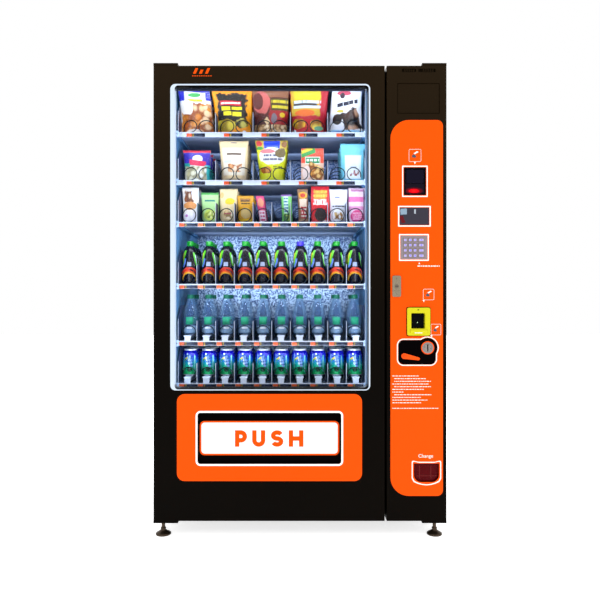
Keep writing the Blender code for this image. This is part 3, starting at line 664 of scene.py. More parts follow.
def make_stage():
    world = bpy.data.worlds.new("studio")
    bpy.context.scene.world = world
    world.use_nodes = True
    background = world.node_tree.nodes["Background"]
    background.inputs["Color"].default_value = (1.0, 1.0, 1.0, 1.0)
    background.inputs["Strength"].default_value = 1.0
    bpy.context.scene.view_settings.view_transform = "Standard"

    floor = Shape()
    reach = 14.0
    floor.box((-reach, -reach, -0.02), (reach, reach, 0.0))
    mesh = floor.mesh("studio_floor")
    mesh.materials.append(finish("floor", srgb(252, 252, 252), 0.7, 0.01, 40.0, 0.03, glow=WHITE, glow_strength=0.76))
    obj = bpy.data.objects.new("studio_floor", mesh)
    bpy.context.scene.collection.objects.link(obj)

    area_light("key", (-1.7, -3.2, 3.0), (0.0, 0.0, 1.0), (1.6, 1.6), 9.0)
    area_light("fill", (2.4, -2.6, 2.6), (0.3, 0.0, 1.3), (1.4, 2.0), 13.0, (1.0, 0.90, 0.76))
    area_light("rear", (0.5, 3.0, 3.0), (0.0, 0.3, 1.0), (2.0, 1.4), 40.0)


SHELF_POWERS = (0.60, 0.45, 0.45, 1.00, 0.90, 0.60)
BACK_POWERS = (0.30, 0.50, 0.30, 0.55, 0.55, 0.10)


def make_chamber_lights():
    """The cool light of the strips round the window, and of bars under each tray's rail and near its back."""
    cool = (0.78, 0.89, 1.0)
    middle_x = sum(CHAMBER_X) / 2
    height = WINDOW[3] - WINDOW[1]
    middle_z = (WINDOW[3] + WINDOW[1]) / 2
    for side, x in (("left", WINDOW[0] + 0.012), ("right", WINDOW[2] - 0.012)):
        area_light("jamb_" + side, (x, -0.330, middle_z), (middle_x, 0.20, middle_z), (0.03, height), 1.3, cool)
    tops = (1.855,) + tuple(top - RAIL_HEIGHT - 0.004 for top in RAIL_TOPS[:-1])
    for number, (z, power, behind) in enumerate(zip(tops, SHELF_POWERS, BACK_POWERS), 1):
        target = (middle_x, 0.10, z - 0.35)
        front_y = -0.262 if number > 1 else -0.306
        area_light(f"shelf_{number}", (middle_x, front_y, z), target, (0.74, 0.02), power, cool)
        wall = (middle_x, 0.342, z - 0.07)
        area_light(f"back_{number}", (middle_x, 0.12, z - 0.006), wall, (0.76, 0.012), behind, cool)


# ---------------------------------------------------------------- CAD finishes

CAD_FINISHES = {
    "black_paint": shell_paint("black_paint", srgb(26, 18, 8), srgb(88, 136, 184)),
    "galvanised_sheet": spangled("galvanised_sheet", srgb(172, 178, 188)),
    "tray_sheet": tray_enamel(),
    "orange_skin": finish("orange_skin", ORANGE, 0.34, 0.025, 700.0, 0.03, 0.0002, specular=0.05),
    "trim_white": finish("trim_white", srgb(196, 210, 226), 0.30, 0.03, 600.0, 0.03, specular=0.2),
    "window_glass": glass("window_glass", srgb(30, 60, 80), 0.03, specular=0.20),
    "black_plastic": finish("black_plastic", srgb(4, 2, 3), 0.42, 0.2, 1200.0, 0.12, 0.0002, specular=0.01),
    "yellow_plastic": finish("yellow_plastic", srgb(204, 198, 22), 0.30, 0.05, 900.0, 0.05, specular=0.15),
    "scanner_lens": glass("scanner_lens", srgb(10, 8, 24), 0.45, 0.05, specular=0.06),
    "key_metal": finish("key_metal", srgb(150, 138, 142), 0.34, 0.08, 700.0, 0.10, 0.0002, (1, 1, 14), metallic=0.75),
    "lock_metal": finish("lock_metal", srgb(146, 134, 114), 0.28, 0.07, 500.0, 0.10, 0.0002, (14, 1, 1), metallic=0.9),
    "orange_plastic": finish("orange_plastic", ORANGE, 0.36, 0.03, 900.0, 0.06, specular=0.12),
    "flap_red": glass("flap_red", srgb(82, 6, 12), 0.92, 0.20, 0.08, specular=0.04),
    "spiral_wire": finish("spiral_wire", srgb(34, 40, 48), 0.30, 0.15, 600.0, 0.08, 0.0002, metallic=0.7),
    "foot_plastic": finish("foot_plastic", srgb(92, 84, 76), 0.32, 0.10, 500.0, 0.08, 0.0002, metallic=0.8),
}


def display_face():
    """The switched-on display: a dark grey panel with a soft bright corner, a small figure and a red glow."""
    g = Print("display_lens", srgb(46, 44, 54), specular=0.15)
    local = g.vector("SUBTRACT", g.place, (DISPLAY[0], 0.0, DISPLAY[1]))
    x, _, z = g.parts(local)
    square = g.node("CombineXYZ", {
        0: g.math("DIVIDE", x, DISPLAY[2] - DISPLAY[0]),
        1: g.math("DIVIDE", z, DISPLAY[3] - DISPLAY[1]),
    })
    g.print = square
    g.wobble = g.noise(7.0, 4.0, at=square)
    g.block((0.02, 0.60, 0.24, 0.94), srgb(120, 142, 160), ragged=0.5)
    g.block((0.02, 0.10, 0.15, 0.52), srgb(86, 10, 18), tilt=-12, ragged=0.4)
    g.block((0.49, 0.64, 0.55, 0.90), srgb(150, 158, 168), ragged=0.6)
    g.colour(g.ink)
    g.rough(0.22)
    g.bump(g.noise(300.0), 0.02, 0.0002)
    g.glow(g.ink, 0.25)
    return g.material


CAD_FINISHES["display_lens"] = display_face()

EDGE_WIDTHS = {
    "main_door_frame": 0.0025,
    "payment_door_panel": 0.0022,
    "cabinet_top": 0.003,
    "cabinet_base": 0.0015,
    "cabinet_left_side": 0.0012,
    "cabinet_right_side": 0.002,
    "cabinet_back": 0.001,
    "bill_acceptor": 0.0012,
    "coin_mechanism": 0.0005,
    "coin_return_lever": 0.0010,
    "delivery_flap": 0.0010,
    "change_flap": 0.0006,
    "keypad_plate": 0.0004,
    "lock_handle": 0.0010,
    "delivery_bin": 0.0012,
    "display": 0.0006,
    "scanner_window": 0.0006,
    "top_hinge_plate_left": 0.0015,
    "top_hinge_plate_right": 0.0015,
    "bottom_hinge_plate_left": 0.0015,
    "bottom_hinge_plate_right": 0.0015,
}


def finish_cad():
    for name, node in frame["nodes"].items():
        slot = node.material_slots[0].material.name.split(".")[0]
        node.data.materials[0] = CAD_FINISHES[slot]
        width = 0.0010 if name.startswith("key_") and name != "keypad_plate" else EDGE_WIDTHS.get(name)
        if width:
            soften(node, width)


# ---------------------------------------------------------------- chamber


def stucco_sheet(x_range, z_range, y, step=0.0055, depth=0.0011):
    """Embossed aluminium sheet, its dimples real: every point is pushed in or out a little."""
    shape = Shape()
    shape.smooth = True
    columns = round((x_range[1] - x_range[0]) / step)
    rows = round((z_range[1] - z_range[0]) / step)
    grid = []
    for row in range(rows + 1):
        z = z_range[0] + (z_range[1] - z_range[0]) * row / rows
        line = []
        for column in range(columns + 1):
            x = x_range[0] + (x_range[1] - x_range[0]) * column / columns
            dimple = noise.noise(Vector((x * 95, z * 95, 3.0))) + 0.5 * noise.noise(Vector((x * 210, z * 210, 9.0)))
            line.append(shape.bm.verts.new((x, y + depth * dimple, z)))
        grid.append(line)
    for lower, upper in zip(grid, grid[1:]):
        for column in range(columns):
            shape.face((lower[column], lower[column + 1], upper[column + 1], upper[column]))
    return shape


def make_liners():
    aluminium = Graph("stucco_aluminium", metallic=0.55)
    flecks = aluminium.noise(150.0, 2.0)
    drift = aluminium.noise(3.0, 3.0)
    _, _, height = aluminium.parts(aluminium.place)
    tone = aluminium.mix(drift, srgb(150, 186, 226), srgb(206, 226, 250))
    # Painted shade: above about 1.3 m the back wall, behind the upper three trays, is painted darker.
    tone = aluminium.mix(aluminium.between(height, 1.22, 1.36), tone, srgb(132, 150, 190))
    aluminium.colour(aluminium.mix(aluminium.between(flecks, 0.40, 0.60), srgb(52, 78, 128), tone))
    aluminium.rough_from(flecks, 0.2, 0.26)
    aluminium.bump(aluminium.noise(420.0, 2.0), 0.25, 0.0006)
    inset = 0.0015
    back = stucco_sheet(
        (CHAMBER_X[0] + inset, CHAMBER_X[1] - inset), (0.565, 1.8785), CHAMBER_BACK_Y - 0.003
    )
    place("back_liner", back, aluminium.material, "cabinet")

    duct = Shape()
    slot_z = 1.8225
    for i in range(9):
        x = CHAMBER_X[0] + 0.085 + i * 0.0815
        duct.frame(
            rounded((x - 0.028, slot_z - 0.009, x + 0.028, slot_z + 0.009), 0.0085, 4),
            rounded((x - 0.024, slot_z - 0.005, x + 0.024, slot_z + 0.005), 0.0048, 4),
            CHAMBER_BACK_Y - 0.0085,
            CHAMBER_BACK_Y - 0.0025,
        )
    place("air_slots", duct, finish("air_slot_plastic", srgb(60, 68, 80), 0.5), "cabinet", 0.0006)

    ceiling = Shape()
    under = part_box("cabinet_top")[0].z
    for front, back_y in ((-0.318, -0.05), (-0.049, 0.340)):
        ceiling.box((CHAMBER_X[0] + 0.002, front, under - 0.0035), (CHAMBER_X[1] - 0.002, back_y, under - 0.0005))
    liner = finish("ceiling_enamel", srgb(60, 70, 96), 0.4, 0.05, 500.0, 0.05)
    place("ceiling_liner", ceiling, liner, "cabinet", 0.0008)


def make_door_lamps():
    """LED channels on the door's inner edges, and their cover over the top edge."""
    x0, z0, x1, z1 = WINDOW
    channel = finish("lamp_channel", srgb(186, 204, 226), 0.3, 0.04, 500.0, 0.04, metallic=0.3)
    lens = lamp("lamp_lens", srgb(206, 224, 244), 0.6)
    dull = lamp("lamp_lens_far", srgb(112, 148, 190), 0.2)
    for side, low, high in (("left", x0 + 0.0015, x0 + 0.0085), ("right", x1 - 0.0085, x1 - 0.0015)):
        shape = Shape()
        shape.prism(corners((low, z0 + 0.004, high, z1 - 0.004)), -0.3380, -0.3290)
        shape.material = 1
        bulge = rounded((low + 0.001, z0 + 0.012, high - 0.001, z1 - 0.012), 0.0025, 3)
        shape.prism(bulge, -0.3425, -0.3385)
        materials = [channel, lens if side == "left" else dull]
        place(f"door_lamp_{side}", shape, materials, "main_door", 0.0008)
    cover = finish("lamp_cover", srgb(46, 52, 70), 0.45, 0.08, 500.0, 0.06, specular=0.1)
    top = Shape()
    top.prism(corners((x0 + 0.010, z1 - 0.0105, x1 - 0.010, z1 - 0.003)), -0.3400, -0.3290)
    top.material = 1
    top.slab((x0 + 0.013, z1 - 0.0095, x1 - 0.013, z1 - 0.004), 0.002, -0.3430, -0.3405, 3)
    place("door_lamp_top", top, [cover, cover], "main_door", 0.0006)


def make_gasket():
    """The bellows seal round the back of the main door, and the lining inside it."""
    rubber = finish("gasket_rubber", srgb(40, 42, 46), 0.6, 0.1, 900.0, 0.2)
    shape = Shape()
    for inset, (front, back) in ((0.0, (-0.3252, -0.3236)), (0.0035, (-0.3237, -0.3224))):
        outer = rounded(grown((-0.5785, 0.590, 0.3265, 1.872), -inset), 0.012)
        inner = rounded(grown((-0.5595, 0.609, 0.3075, 1.853), inset), 0.008)
        shape.frame(outer, inner, front, back)
    place("door_gasket", shape, rubber, "main_door")


# ---------------------------------------------------------------- trays


def floor_z(tray):
    return RAIL_TOPS[tray] - RAIL_LIP


def lane_pitch(tray):
    return LANES_WIDTH / LANE_COUNTS[tray]


def lane_centre(tray, lane):
    return TRAY_X[0] + 0.001 + (lane + 0.5) * lane_pitch(tray)


def helix(turns, hand):
    steps = round(turns * POINTS_PER_TURN)
    run = SPIRAL_Y[1] - SPIRAL_Y[0]
    path = []
    for i in range(steps + 1):
        angle = math.radians(-90) + hand * 2 * math.pi * i / POINTS_PER_TURN
        path.append((SPIRAL_RADIUS * math.cos(angle), run * i / steps, SPIRAL_RADIUS * math.sin(angle)))
    return path


def spiral_into(shape, x, z, turns, hand):
    path = [(x + px, SPIRAL_Y[0] + py, z + pz) for px, py, pz in helix(turns, hand)]
    shape.smooth = True
    shape.tube(path, SPIRAL_WIRE, 7)
    back = SPIRAL_Y[1]
    shape.pin(x, z, back - 0.004, back + 0.002, 0.011, 16)
    shape.smooth = False
    angle = math.radians(-90) + hand * 2 * math.pi * turns
    tip = (x + SPIRAL_RADIUS * math.cos(angle), back - 0.001, z + SPIRAL_RADIUS * math.sin(angle))
    shape.tube([tip, (x, back - 0.001, z)], SPIRAL_WIRE, 7)


def spirals_of(tray):
    """(x, turns, hand, body) of every spiral on a tray. A wide lane has a pair that turn opposite ways."""
    for lane in range(LANE_COUNTS[tray]):
        x = lane_centre(tray, lane)
        if LANE_COUNTS[tray] == 5:
            driven = tray == 0 and lane == 2
            yield x - PAIR_SPACING / 2, 6, 1, "spiral_1_left" if driven else None
            yield x + PAIR_SPACING / 2, 6, -1, "spiral_1_right" if driven else None
        else:
            yield x, 7, 1, f"spiral_{tray + 1}" if tray >= 2 and lane == 4 else None


def make_spirals():
    wire = CAD_FINISHES["spiral_wire"]
    for tray in range(len(RAIL_TOPS)):
        fixed = Shape()
        z = floor_z(tray) + SPIRAL_LIFT
        for x, turns, hand, body in spirals_of(tray):
            if body:
                own = Shape()
                spiral_into(own, x, z, turns, hand)
                place(body + "_coil", own, wire, body, replaces=[body])
            else:
                spiral_into(fixed, x, z, turns, hand)
        place(f"tray_{tray + 1}_spirals", fixed, wire, "cabinet")


def make_motors():
    """A geared motor behind each spiral, with its connector, on the tray's back wall."""
    housing = finish("motor_plastic", srgb(225, 228, 232), 0.45, 0.05, 800.0, 0.08)
    brass = finish("motor_metal", srgb(176, 160, 120), 0.35, 0.08, 500.0, 0.08, metallic=0.8)
    for tray in range(len(RAIL_TOPS)):
        shape = Shape()
        z = floor_z(tray) + SPIRAL_LIFT
        y = TRAY_BACK_Y + 0.0005
        for lane in range(LANE_COUNTS[tray]):
            x = lane_centre(tray, lane)
            shape.material = 0
            shape.slab((x - 0.030, z - 0.021, x + 0.030, z + 0.024), 0.004, y, y + 0.026, 3)
            shape.slab((x - 0.012, z + 0.0245, x + 0.012, z + 0.033), 0.002, y + 0.004, y + 0.016, 2)
            shape.material = 1
            shape.pin(x + 0.012, z, y + 0.0265, y + 0.046, 0.0115, 16)
        place(f"tray_{tray + 1}_motors", shape, [housing, brass], "cabinet", 0.0008)


def tag_card(name, narrow):
    """A price tag: orange number field, a thin yellow and dark bar, a dotted grey field and a black end."""
    g = Graph(name, specular=0.2)
    u, v, _ = g.parts(g.print)
    flat = "CONSTANT"
    if narrow:
        stops = (
            (0.0, srgb(214, 92, 46)), (0.27, srgb(24, 24, 30)), (0.33, srgb(150, 126, 20)),
            (0.38, srgb(16, 22, 44)), (0.84, srgb(3, 5, 22)),
        )
    else:
        stops = (
            (0.0, srgb(204, 78, 34)), (0.28, srgb(40, 30, 22)), (0.33, srgb(150, 126, 20)),
            (0.39, srgb(18, 24, 42)), (0.86, srgb(4, 6, 20)),
        )
    base = g.ramp(u, stops, flat)
    grid = g.times(g.math("PINGPONG", g.times(u, 26.0), 0.5), g.math("PINGPONG", g.times(v, 5.0), 0.5))
    field = g.times(g.math("GREATER_THAN", u, 0.39), g.math("LESS_THAN", u, 0.84))
    dotted = g.mix(g.times(field, g.between(grid, 0.10, 0.16)), base, srgb(70, 82, 112))
    g.colour(g.mix(g.times(g.noise(40.0), 0.2), dotted, INK))
    g.rough_from(g.noise(12.0), 0.1, 0.28)
    g.bump(g.noise(500.0), 0.03, 0.0002)
    return g.material


TAG_WIDTH = 0.0812


def make_rails():
    """What each tray's front rail carries: a tag for every lane, the clear strip over them, and its end blocks."""
    tags = {5: tag_card("wide_tag", False), 10: tag_card("narrow_tag", True)}
    clear = glass("tag_cover", srgb(40, 50, 70), 0.04, 0.10, specular=0.05)
    white = finish("bracket_plastic", srgb(170, 194, 226), 0.35, 0.03, 700.0, 0.05)
    screw = finish("screw_steel", srgb(120, 124, 132), 0.3, 0.1, 600.0, 0.1, metallic=0.9)
    for tray, top in enumerate(RAIL_TOPS):
        low, high = top - RAIL_HEIGHT + 0.0007, top - (0.0055 if tray < 5 else 0.0035)
        shape = Shape()
        for lane in range(LANE_COUNTS[tray]):
            x = lane_centre(tray, lane)
            x += -0.004 if LANE_COUNTS[tray] == 5 else 0.005
            half = TAG_WIDTH / 2 - (0.0006 if LANE_COUNTS[tray] == 10 else 0.0)
            box = (x - half, low, x + half, high)
            cut = (max(box[0], TRAY_X[0] + 0.0045), low, min(box[2], TRAY_X[1] - 0.0085), high)
            shape.slab(cut, 0.0008, TRAY_FRONT_Y - 0.0011, TRAY_FRONT_Y - 0.0001, 2, box)
        place(f"tray_{tray + 1}_tags", shape, tags[LANE_COUNTS[tray]], "cabinet")

        cover = Shape()
        box = (TRAY_X[0] + 0.005, low - 0.0005, TRAY_X[1] - 0.009, high + 0.001)
        cover.slab(box, 0.001, TRAY_FRONT_Y - 0.0026, TRAY_FRONT_Y - 0.0016, 2)
        place(f"tray_{tray + 1}_tag_cover", cover, clear, "cabinet")

        ends = Shape()
        for middle in (CHAMBER_X[0] + 0.0075, CHAMBER_X[1] - 0.0075):
            ends.material = 0
            block = (middle - 0.0070, top - RAIL_HEIGHT - 0.003, middle + 0.0070, top + 0.004)
            ends.slab(block, 0.003, TRAY_FRONT_Y - 0.010, TRAY_FRONT_Y - 0.0028, 4)
            ends.material = 1
            z = top - RAIL_HEIGHT / 2
            ends.pin(middle, z, TRAY_FRONT_Y - 0.0115, TRAY_FRONT_Y - 0.0098, 0.0034, 16)
        place(f"tray_{tray + 1}_end_blocks", ends, [white, screw], "cabinet", 0.0008)


# ---------------------------------------------------------------- main door


def stroke(path, width):
    """The outline of a flat pen stroke of even width along a path in the XZ plane."""
    points = [Vector(point) for point in path]
    left, right = [], []
    for i, point in enumerate(points):
        before = (point - points[i - 1]).normalized() if i else None
        after = (points[i + 1] - point).normalized() if i < len(points) - 1 else None
        along = ((before or after) + (after or before)).normalized()
        across = Vector((-along.y, along.x))
        square = Vector((-(before or after).y, (before or after).x))
        reach = width / 2 / max(0.5, across.dot(square))
        left.append(point + across * reach)
        right.append(point - across * reach)
    return [tuple(point) for point in left + right[::-1]]


def arc(centre, radii, start, end, steps=14):
    """Points on an ellipse in the XZ plane, from one angle in degrees to another."""
    angles = [math.radians(start + (end - start) * i / steps) for i in range(steps + 1)]
    return [(centre[0] + radii[0] * math.cos(a), centre[1] + radii[1] * math.sin(a)) for a in angles]


def push_letters():
    """The four letters' pen strokes, each in its own box with its lower left corner at 0."""
    height, pen = 0.0672, 0.0178
    half = pen / 2
    bowl_width, bowl_height = 0.049, 0.050
    bowl_radius = (bowl_height - pen) / 2
    bowl_x, bowl_z = bowl_width - half - bowl_radius, height - half - bowl_radius
    p = [
        [(half, 0), (half, height)],
        [
            (half, height - half),
            *arc((bowl_x, bowl_z), (bowl_radius,) * 2, 90, -90),
            (half, height - bowl_height + half),
        ],
    ]
    u_width = 0.0535
    u_radius = (u_width - pen) / 2
    u_centre = (half + u_radius, half + u_radius)
    u = [[(half, height), *arc(u_centre, (u_radius,) * 2, 180, 360), (u_width - half, height)]]
    s_width = 0.0505
    s_radii = ((s_width - pen) / 2, (height - pen) / 4)
    middle = s_width / 2
    upper = arc((middle, height - half - s_radii[1]), s_radii, 22, 270)
    lower = arc((middle, half + s_radii[1]), s_radii, 90, -158)
    s = [upper + lower[1:]]
    h_width = 0.0600
    h = [
        [(half, 0), (half, height)],
        [(h_width - half, 0), (h_width - half, height)],
        [(half, height / 2), (h_width - half, height / 2)],
    ]
    return pen, ((p, 0.0), (u, 0.0705), (s, 0.1475), (h, 0.2205))


def make_push_plate():
    """The delivery flap's white plate, with its orange border and word."""
    orange = CAD_FINISHES["orange_skin"]
    white = finish("push_plate_white", WHITE, 0.32, 0.012, 800.0, 0.02, specular=0.35)
    border = 0.0065
    outer = rounded(PUSH_PLATE, 0.019, 8)
    inner = rounded(grown(PUSH_PLATE, -border), 0.014, 8)
    y = PUSH_PLATE_Y
    rim = Shape()
    rim.frame(outer, inner, y - 2 * FILM, y)
    place("push_plate_border", rim, orange, "delivery_flap")
    face = Shape()
    face.slab(grown(PUSH_PLATE, -border - 0.0001), 0.014, y - FILM, y, 8)
    place("push_plate_face", face, white, "delivery_flap")
    pen, letters = push_letters()
    word = Shape()
    left, low = -0.2665, 0.3685
    for strokes, x in letters:
        for number, path in enumerate(strokes):
            moved = [(left + x + px, low + pz) for px, pz in path]
            word.prism(stroke(moved, pen), y - (3 + 0.3 * number) * FILM, y - FILM / 2)
    place("push_letters", word, orange, "delivery_flap")


def make_door_graphics():
    """The white line round the delivery opening, and a plain badge of bars on the door's top."""
    white = finish("outline_white", WHITE, 0.32, 0.012, 800.0, 0.02, specular=0.35)
    ring = Shape()
    outer, inner = rounded(grown(DELIVERY, 0.0076), 0.020, 8), rounded(DELIVERY, 0.012, 8)
    ring.frame(outer, inner, SKIN_FRONT_Y - FILM, SKIN_FRONT_Y)
    place("delivery_outline", ring, white, "main_door")

    badge = Shape()
    x, z = -0.4405, 1.8935
    lean, bar, height = 0.010, 0.011, 0.0225
    for i in range(3):
        start = x + 0.004 + i * 0.0245
        tall = height * (1.0, 0.72, 1.0)[i]
        drift = lean * tall / height
        parallelogram = ((start, z), (start + bar, z), (start + bar + drift, z + tall), (start + drift, z + tall))
        badge.prism(parallelogram, DOOR_FRONT_Y - 0.0008, DOOR_FRONT_Y)
    for i in range(9):
        start = x + i * 0.0092
        badge.slab((start, z - 0.0105, start + 0.0066, z - 0.0075), 0.0006, DOOR_FRONT_Y - 0.0004, DOOR_FRONT_Y, 2)
    place("plain_badge", badge, CAD_FINISHES["orange_skin"], "main_door", 0.0002)


def make_window_trim():
    """The white moulding round the window, on the door's face and wide at its left."""
    x0, z0, x1, z1 = WINDOW
    shape = Shape()
    inner = rounded((x0 + 0.0130, z0 - 0.0018, x1 + 0.0005, z1 - 0.0055), 0.014, 8)
    outer = rounded((x0 - 0.0050, z0 - 0.0058, x1 + 0.0065, z1 + 0.0005), 0.021, 8)
    shape.frame(outer, inner, DOOR_FRONT_Y - 0.0016, DOOR_FRONT_Y - 0.0001)
    trim = CAD_FINISHES["trim_white"]
    place("window_moulding", shape, trim, "main_door", 0.0004, replaces=["window_trim"])


def make_window_retainer():
    """The aluminium angle that holds the glass from inside, with its screws."""
    metal = finish("retainer_aluminium", srgb(186, 192, 200), 0.35, 0.06, 400.0, 0.06, metallic=0.8)
    shape = Shape()
    outer, inner = grown(WINDOW, 0.016), grown(WINDOW, 0.001)
    shape.frame(rounded(outer, 0.020), rounded(inner, 0.016), -0.3246, -0.3228)
    for x in (outer[0] + 0.007, outer[2] - 0.007):
        for i in range(7):
            z = outer[1] + 0.08 + i * (outer[3] - outer[1] - 0.16) / 6
            shape.pin(x, z, -0.3229, -0.3214, 0.0032, 12)
    place("window_retainer", shape, metal, "main_door", 0.0004)


# ---------------------------------------------------------------- payment door


def outline_pair(box, gap, line, radius):
    """Outer and inner outlines of a printed line of width line that stands gap outside a box."""
    inner = grown(box, gap)
    return rounded(grown(inner, line), radius * 1.6), rounded(inner, radius)


def coin_outline(margin):
    """The coin plate's outline, grown by margin, with the bump round the coin disc."""
    x0, z0, x1, z1 = grown(COIN_PLATE, margin)
    radius = 0.021 + margin
    bump = COIN_BUMP_RADIUS + margin
    cx, cz = COIN_DISC
    top_angle = math.degrees(math.asin((z1 - cz) / bump))
    side_angle = -math.degrees(math.acos((x1 - cx) / bump))
    points = arc((x0 + radius, z0 + radius), (radius,) * 2, 180, 270, 8)
    points += arc((x1 - radius, z0 + radius), (radius,) * 2, 270, 360, 8)
    points += arc((cx, cz), (bump,) * 2, side_angle, 180 - top_angle, 24)
    points += arc((x0 + radius, z1 - radius), (radius,) * 2, 90, 180, 8)
    return points


def cup_outline(margin, ear=0.0045):
    """The change cup's outline, grown by margin: a flat top with small ears and a curved bottom."""
    x0, z0, x1, z1 = grown(CUP_MOUTH, margin)
    z0, z1 = z0 - 0.0040, z1 + 0.0025
    middle = (x0 + x1) / 2
    half = (x1 - x0) / 2
    side_z = z0 + 0.028
    points = [(middle + half * t, z0 + 0.018 * t * t) for t in [i / 8 - 1 for i in range(1, 16)]]
    points += [(x1, side_z), (x1, z1 - 0.006), (x1 - 0.002, z1 - 0.001), (x1 - 0.007, z1)]
    points += [(middle + half * 0.55, z1 - ear), (middle - half * 0.55, z1 - ear)]
    points += [(x0 + 0.007, z1), (x0 + 0.002, z1 - 0.001), (x0, z1 - 0.006), (x0, side_z)]
    return points


def make_fascia_outlines():
    white = finish("fascia_white", srgb(250, 240, 232), 0.32, 0.012, 800.0, 0.02, specular=0.35)
    shape = Shape()
    front, back = SKIN_FRONT_Y - FILM, SKIN_FRONT_Y
    for box, gap, line in ((SCANNER, 0.0030, 0.0048), (DISPLAY, 0.0022, 0.0050), (KEYPAD, 0.0024, 0.0050)):
        outer, inner = outline_pair(box, gap, line, 0.0015)
        shape.frame(outer, inner, front, back)
    shape.frame(coin_outline(0.0060), coin_outline(0.0012), front, back)
    shape.frame(cup_outline(0.0090), cup_outline(0.0048), CUP_FRONT_Y - 2 * FILM, CUP_FRONT_Y - FILM)
    place("fascia_outlines", shape, white, "payment_door")
    skin = Shape()
    hole = rounded(CUP_MOUTH, (CUP_CORNER, CUP_CORNER, 0.002, 0.002), 10)
    skin.frame(rounded(grown(CUP_BODY, 0.0006), (0.002,) * 4, 10), hole, CUP_FRONT_Y - FILM, CUP_FRONT_Y)
    place("change_cup_skin", skin, CAD_FINISHES["orange_skin"], "payment_door")
    return white


def pictogram(shape, box, pointer):
    """A rounded outline with a card and a hand in it, and a small pointer that shows which slot it is for."""
    front, back = SKIN_FRONT_Y - FILM, SKIN_FRONT_Y
    x0, z0, x1, z1 = box
    width, height = x1 - x0, z1 - z0
    shape.material = 0
    shape.frame(rounded(box, 0.005), rounded(grown(box, -0.0012), 0.0041), front, back)
    px, pz = pointer
    side = 0.0045 if px < (x0 + x1) / 2 - width / 4 else 0.0
    shape.prism(((px - 0.0045, pz + 0.0045), (px + side * 0.4, pz - 0.0045), (px + 0.0045, pz + 0.0045)), front, back)
    card = ((0.50, 0.60), (0.80, 0.78), (0.66, 0.84), (0.38, 0.66))
    shape.prism([(x0 + width * u, z0 + height * v) for u, v in card], front, back)
    hand = ((0.24, 0.36), (0.52, 0.30), (0.60, 0.42), (0.52, 0.54), (0.38, 0.60), (0.28, 0.52))
    shape.material = 1
    shape.prism([(x0 + width * u, z0 + height * v) for u, v in hand], front, back)


def dashes(shape, left, right, z, height, rng):
    """A line of short dashes, like words too small to read."""
    x = left
    front, back = SKIN_FRONT_Y - FILM * 0.8, SKIN_FRONT_Y
    while x < right - 0.003:
        length = min(rng.uniform(0.004, 0.013), right - x)
        shape.slab((x, z - height / 2, x + length, z + height / 2), height * 0.3, front, back, 2)
        x += length + rng.uniform(0.0016, 0.0026)


def make_fascia_print(white):
    ink = finish("pictogram_ink", srgb(58, 70, 84), 0.4, 0.05, 700.0, 0.03)
    signs = Shape()
    pictogram(signs, (0.4440, 1.5340, 0.4940, 1.5850), (0.4685, 1.5285))
    pictogram(signs, (0.5020, 0.9700, 0.5470, 1.0150), (0.5035, 0.9655))
    pictogram(signs, (0.5340, 0.8270, 0.5750, 0.8720), (0.5355, 0.8225))
    signs.material = 0
    front, back = SKIN_FRONT_Y - FILM, SKIN_FRONT_Y
    signs.prism(((0.4825, 1.1165), (0.4905, 1.1165), (0.4865, 1.1235)), front, back)
    place("fascia_pictograms", signs, [white, ink], "payment_door")

    rng = random.Random(5)
    words = Shape()
    line = 0.01093
    top = 0.6603
    ends = (0.4845, 0.517, 0.534, 0.5246, 0.534, 0.505, 0.4248, 0.5355, 0.493, 0.5195, 0.4955)
    indented = (1, 2, 4, 7)
    for i, end in enumerate(ends):
        left = 0.3840 if i in indented else 0.3766
        dashes(words, left, end, top - i * line, 0.0030, rng)
    dashes(words, 0.3766, 0.5647, 0.5284, 0.0028, rng)
    dashes(words, 0.4790, 0.5720, 1.1085, 0.0044, rng)
    place("fascia_small_print", words, white, "payment_door")

    label = Shape()
    label.lettering("Change", 0.0200, (0.5125, 0.3335), SKIN_FRONT_Y - FILM, FILM, weight=0.0001)
    place("change_label", label, white, "payment_door")


def make_door_vents():
    """The dark louvres pressed into the payment door's top, and the fine line round its blanked panel."""
    shadow = finish("vent_shadow", srgb(14, 8, 3), 0.6, 0.2, 900.0, 0.1, specular=0.0)
    groove = Shape()
    y = DOOR_FRONT_Y
    groove.frame(rounded(EMBOSS, 0.003, 3), rounded(grown(EMBOSS, -0.0016), 0.002, 3), y - 0.00025, y)
    place("blank_panel_groove", groove, shadow, "payment_door")
    bars = Shape()
    for left, right in ((0.4186, 0.4735), (0.4950, 0.5510)):
        step = (right - left) / 6
        for i in range(1, 6):
            x = left + i * step
            bars.slab((x - 0.0022, 1.9010, x + 0.0022, 1.9125), 0.0006, y - 0.0004, y + 0.0010, 2)
    place("vent_bars", bars, CAD_FINISHES["black_paint"], "payment_door")


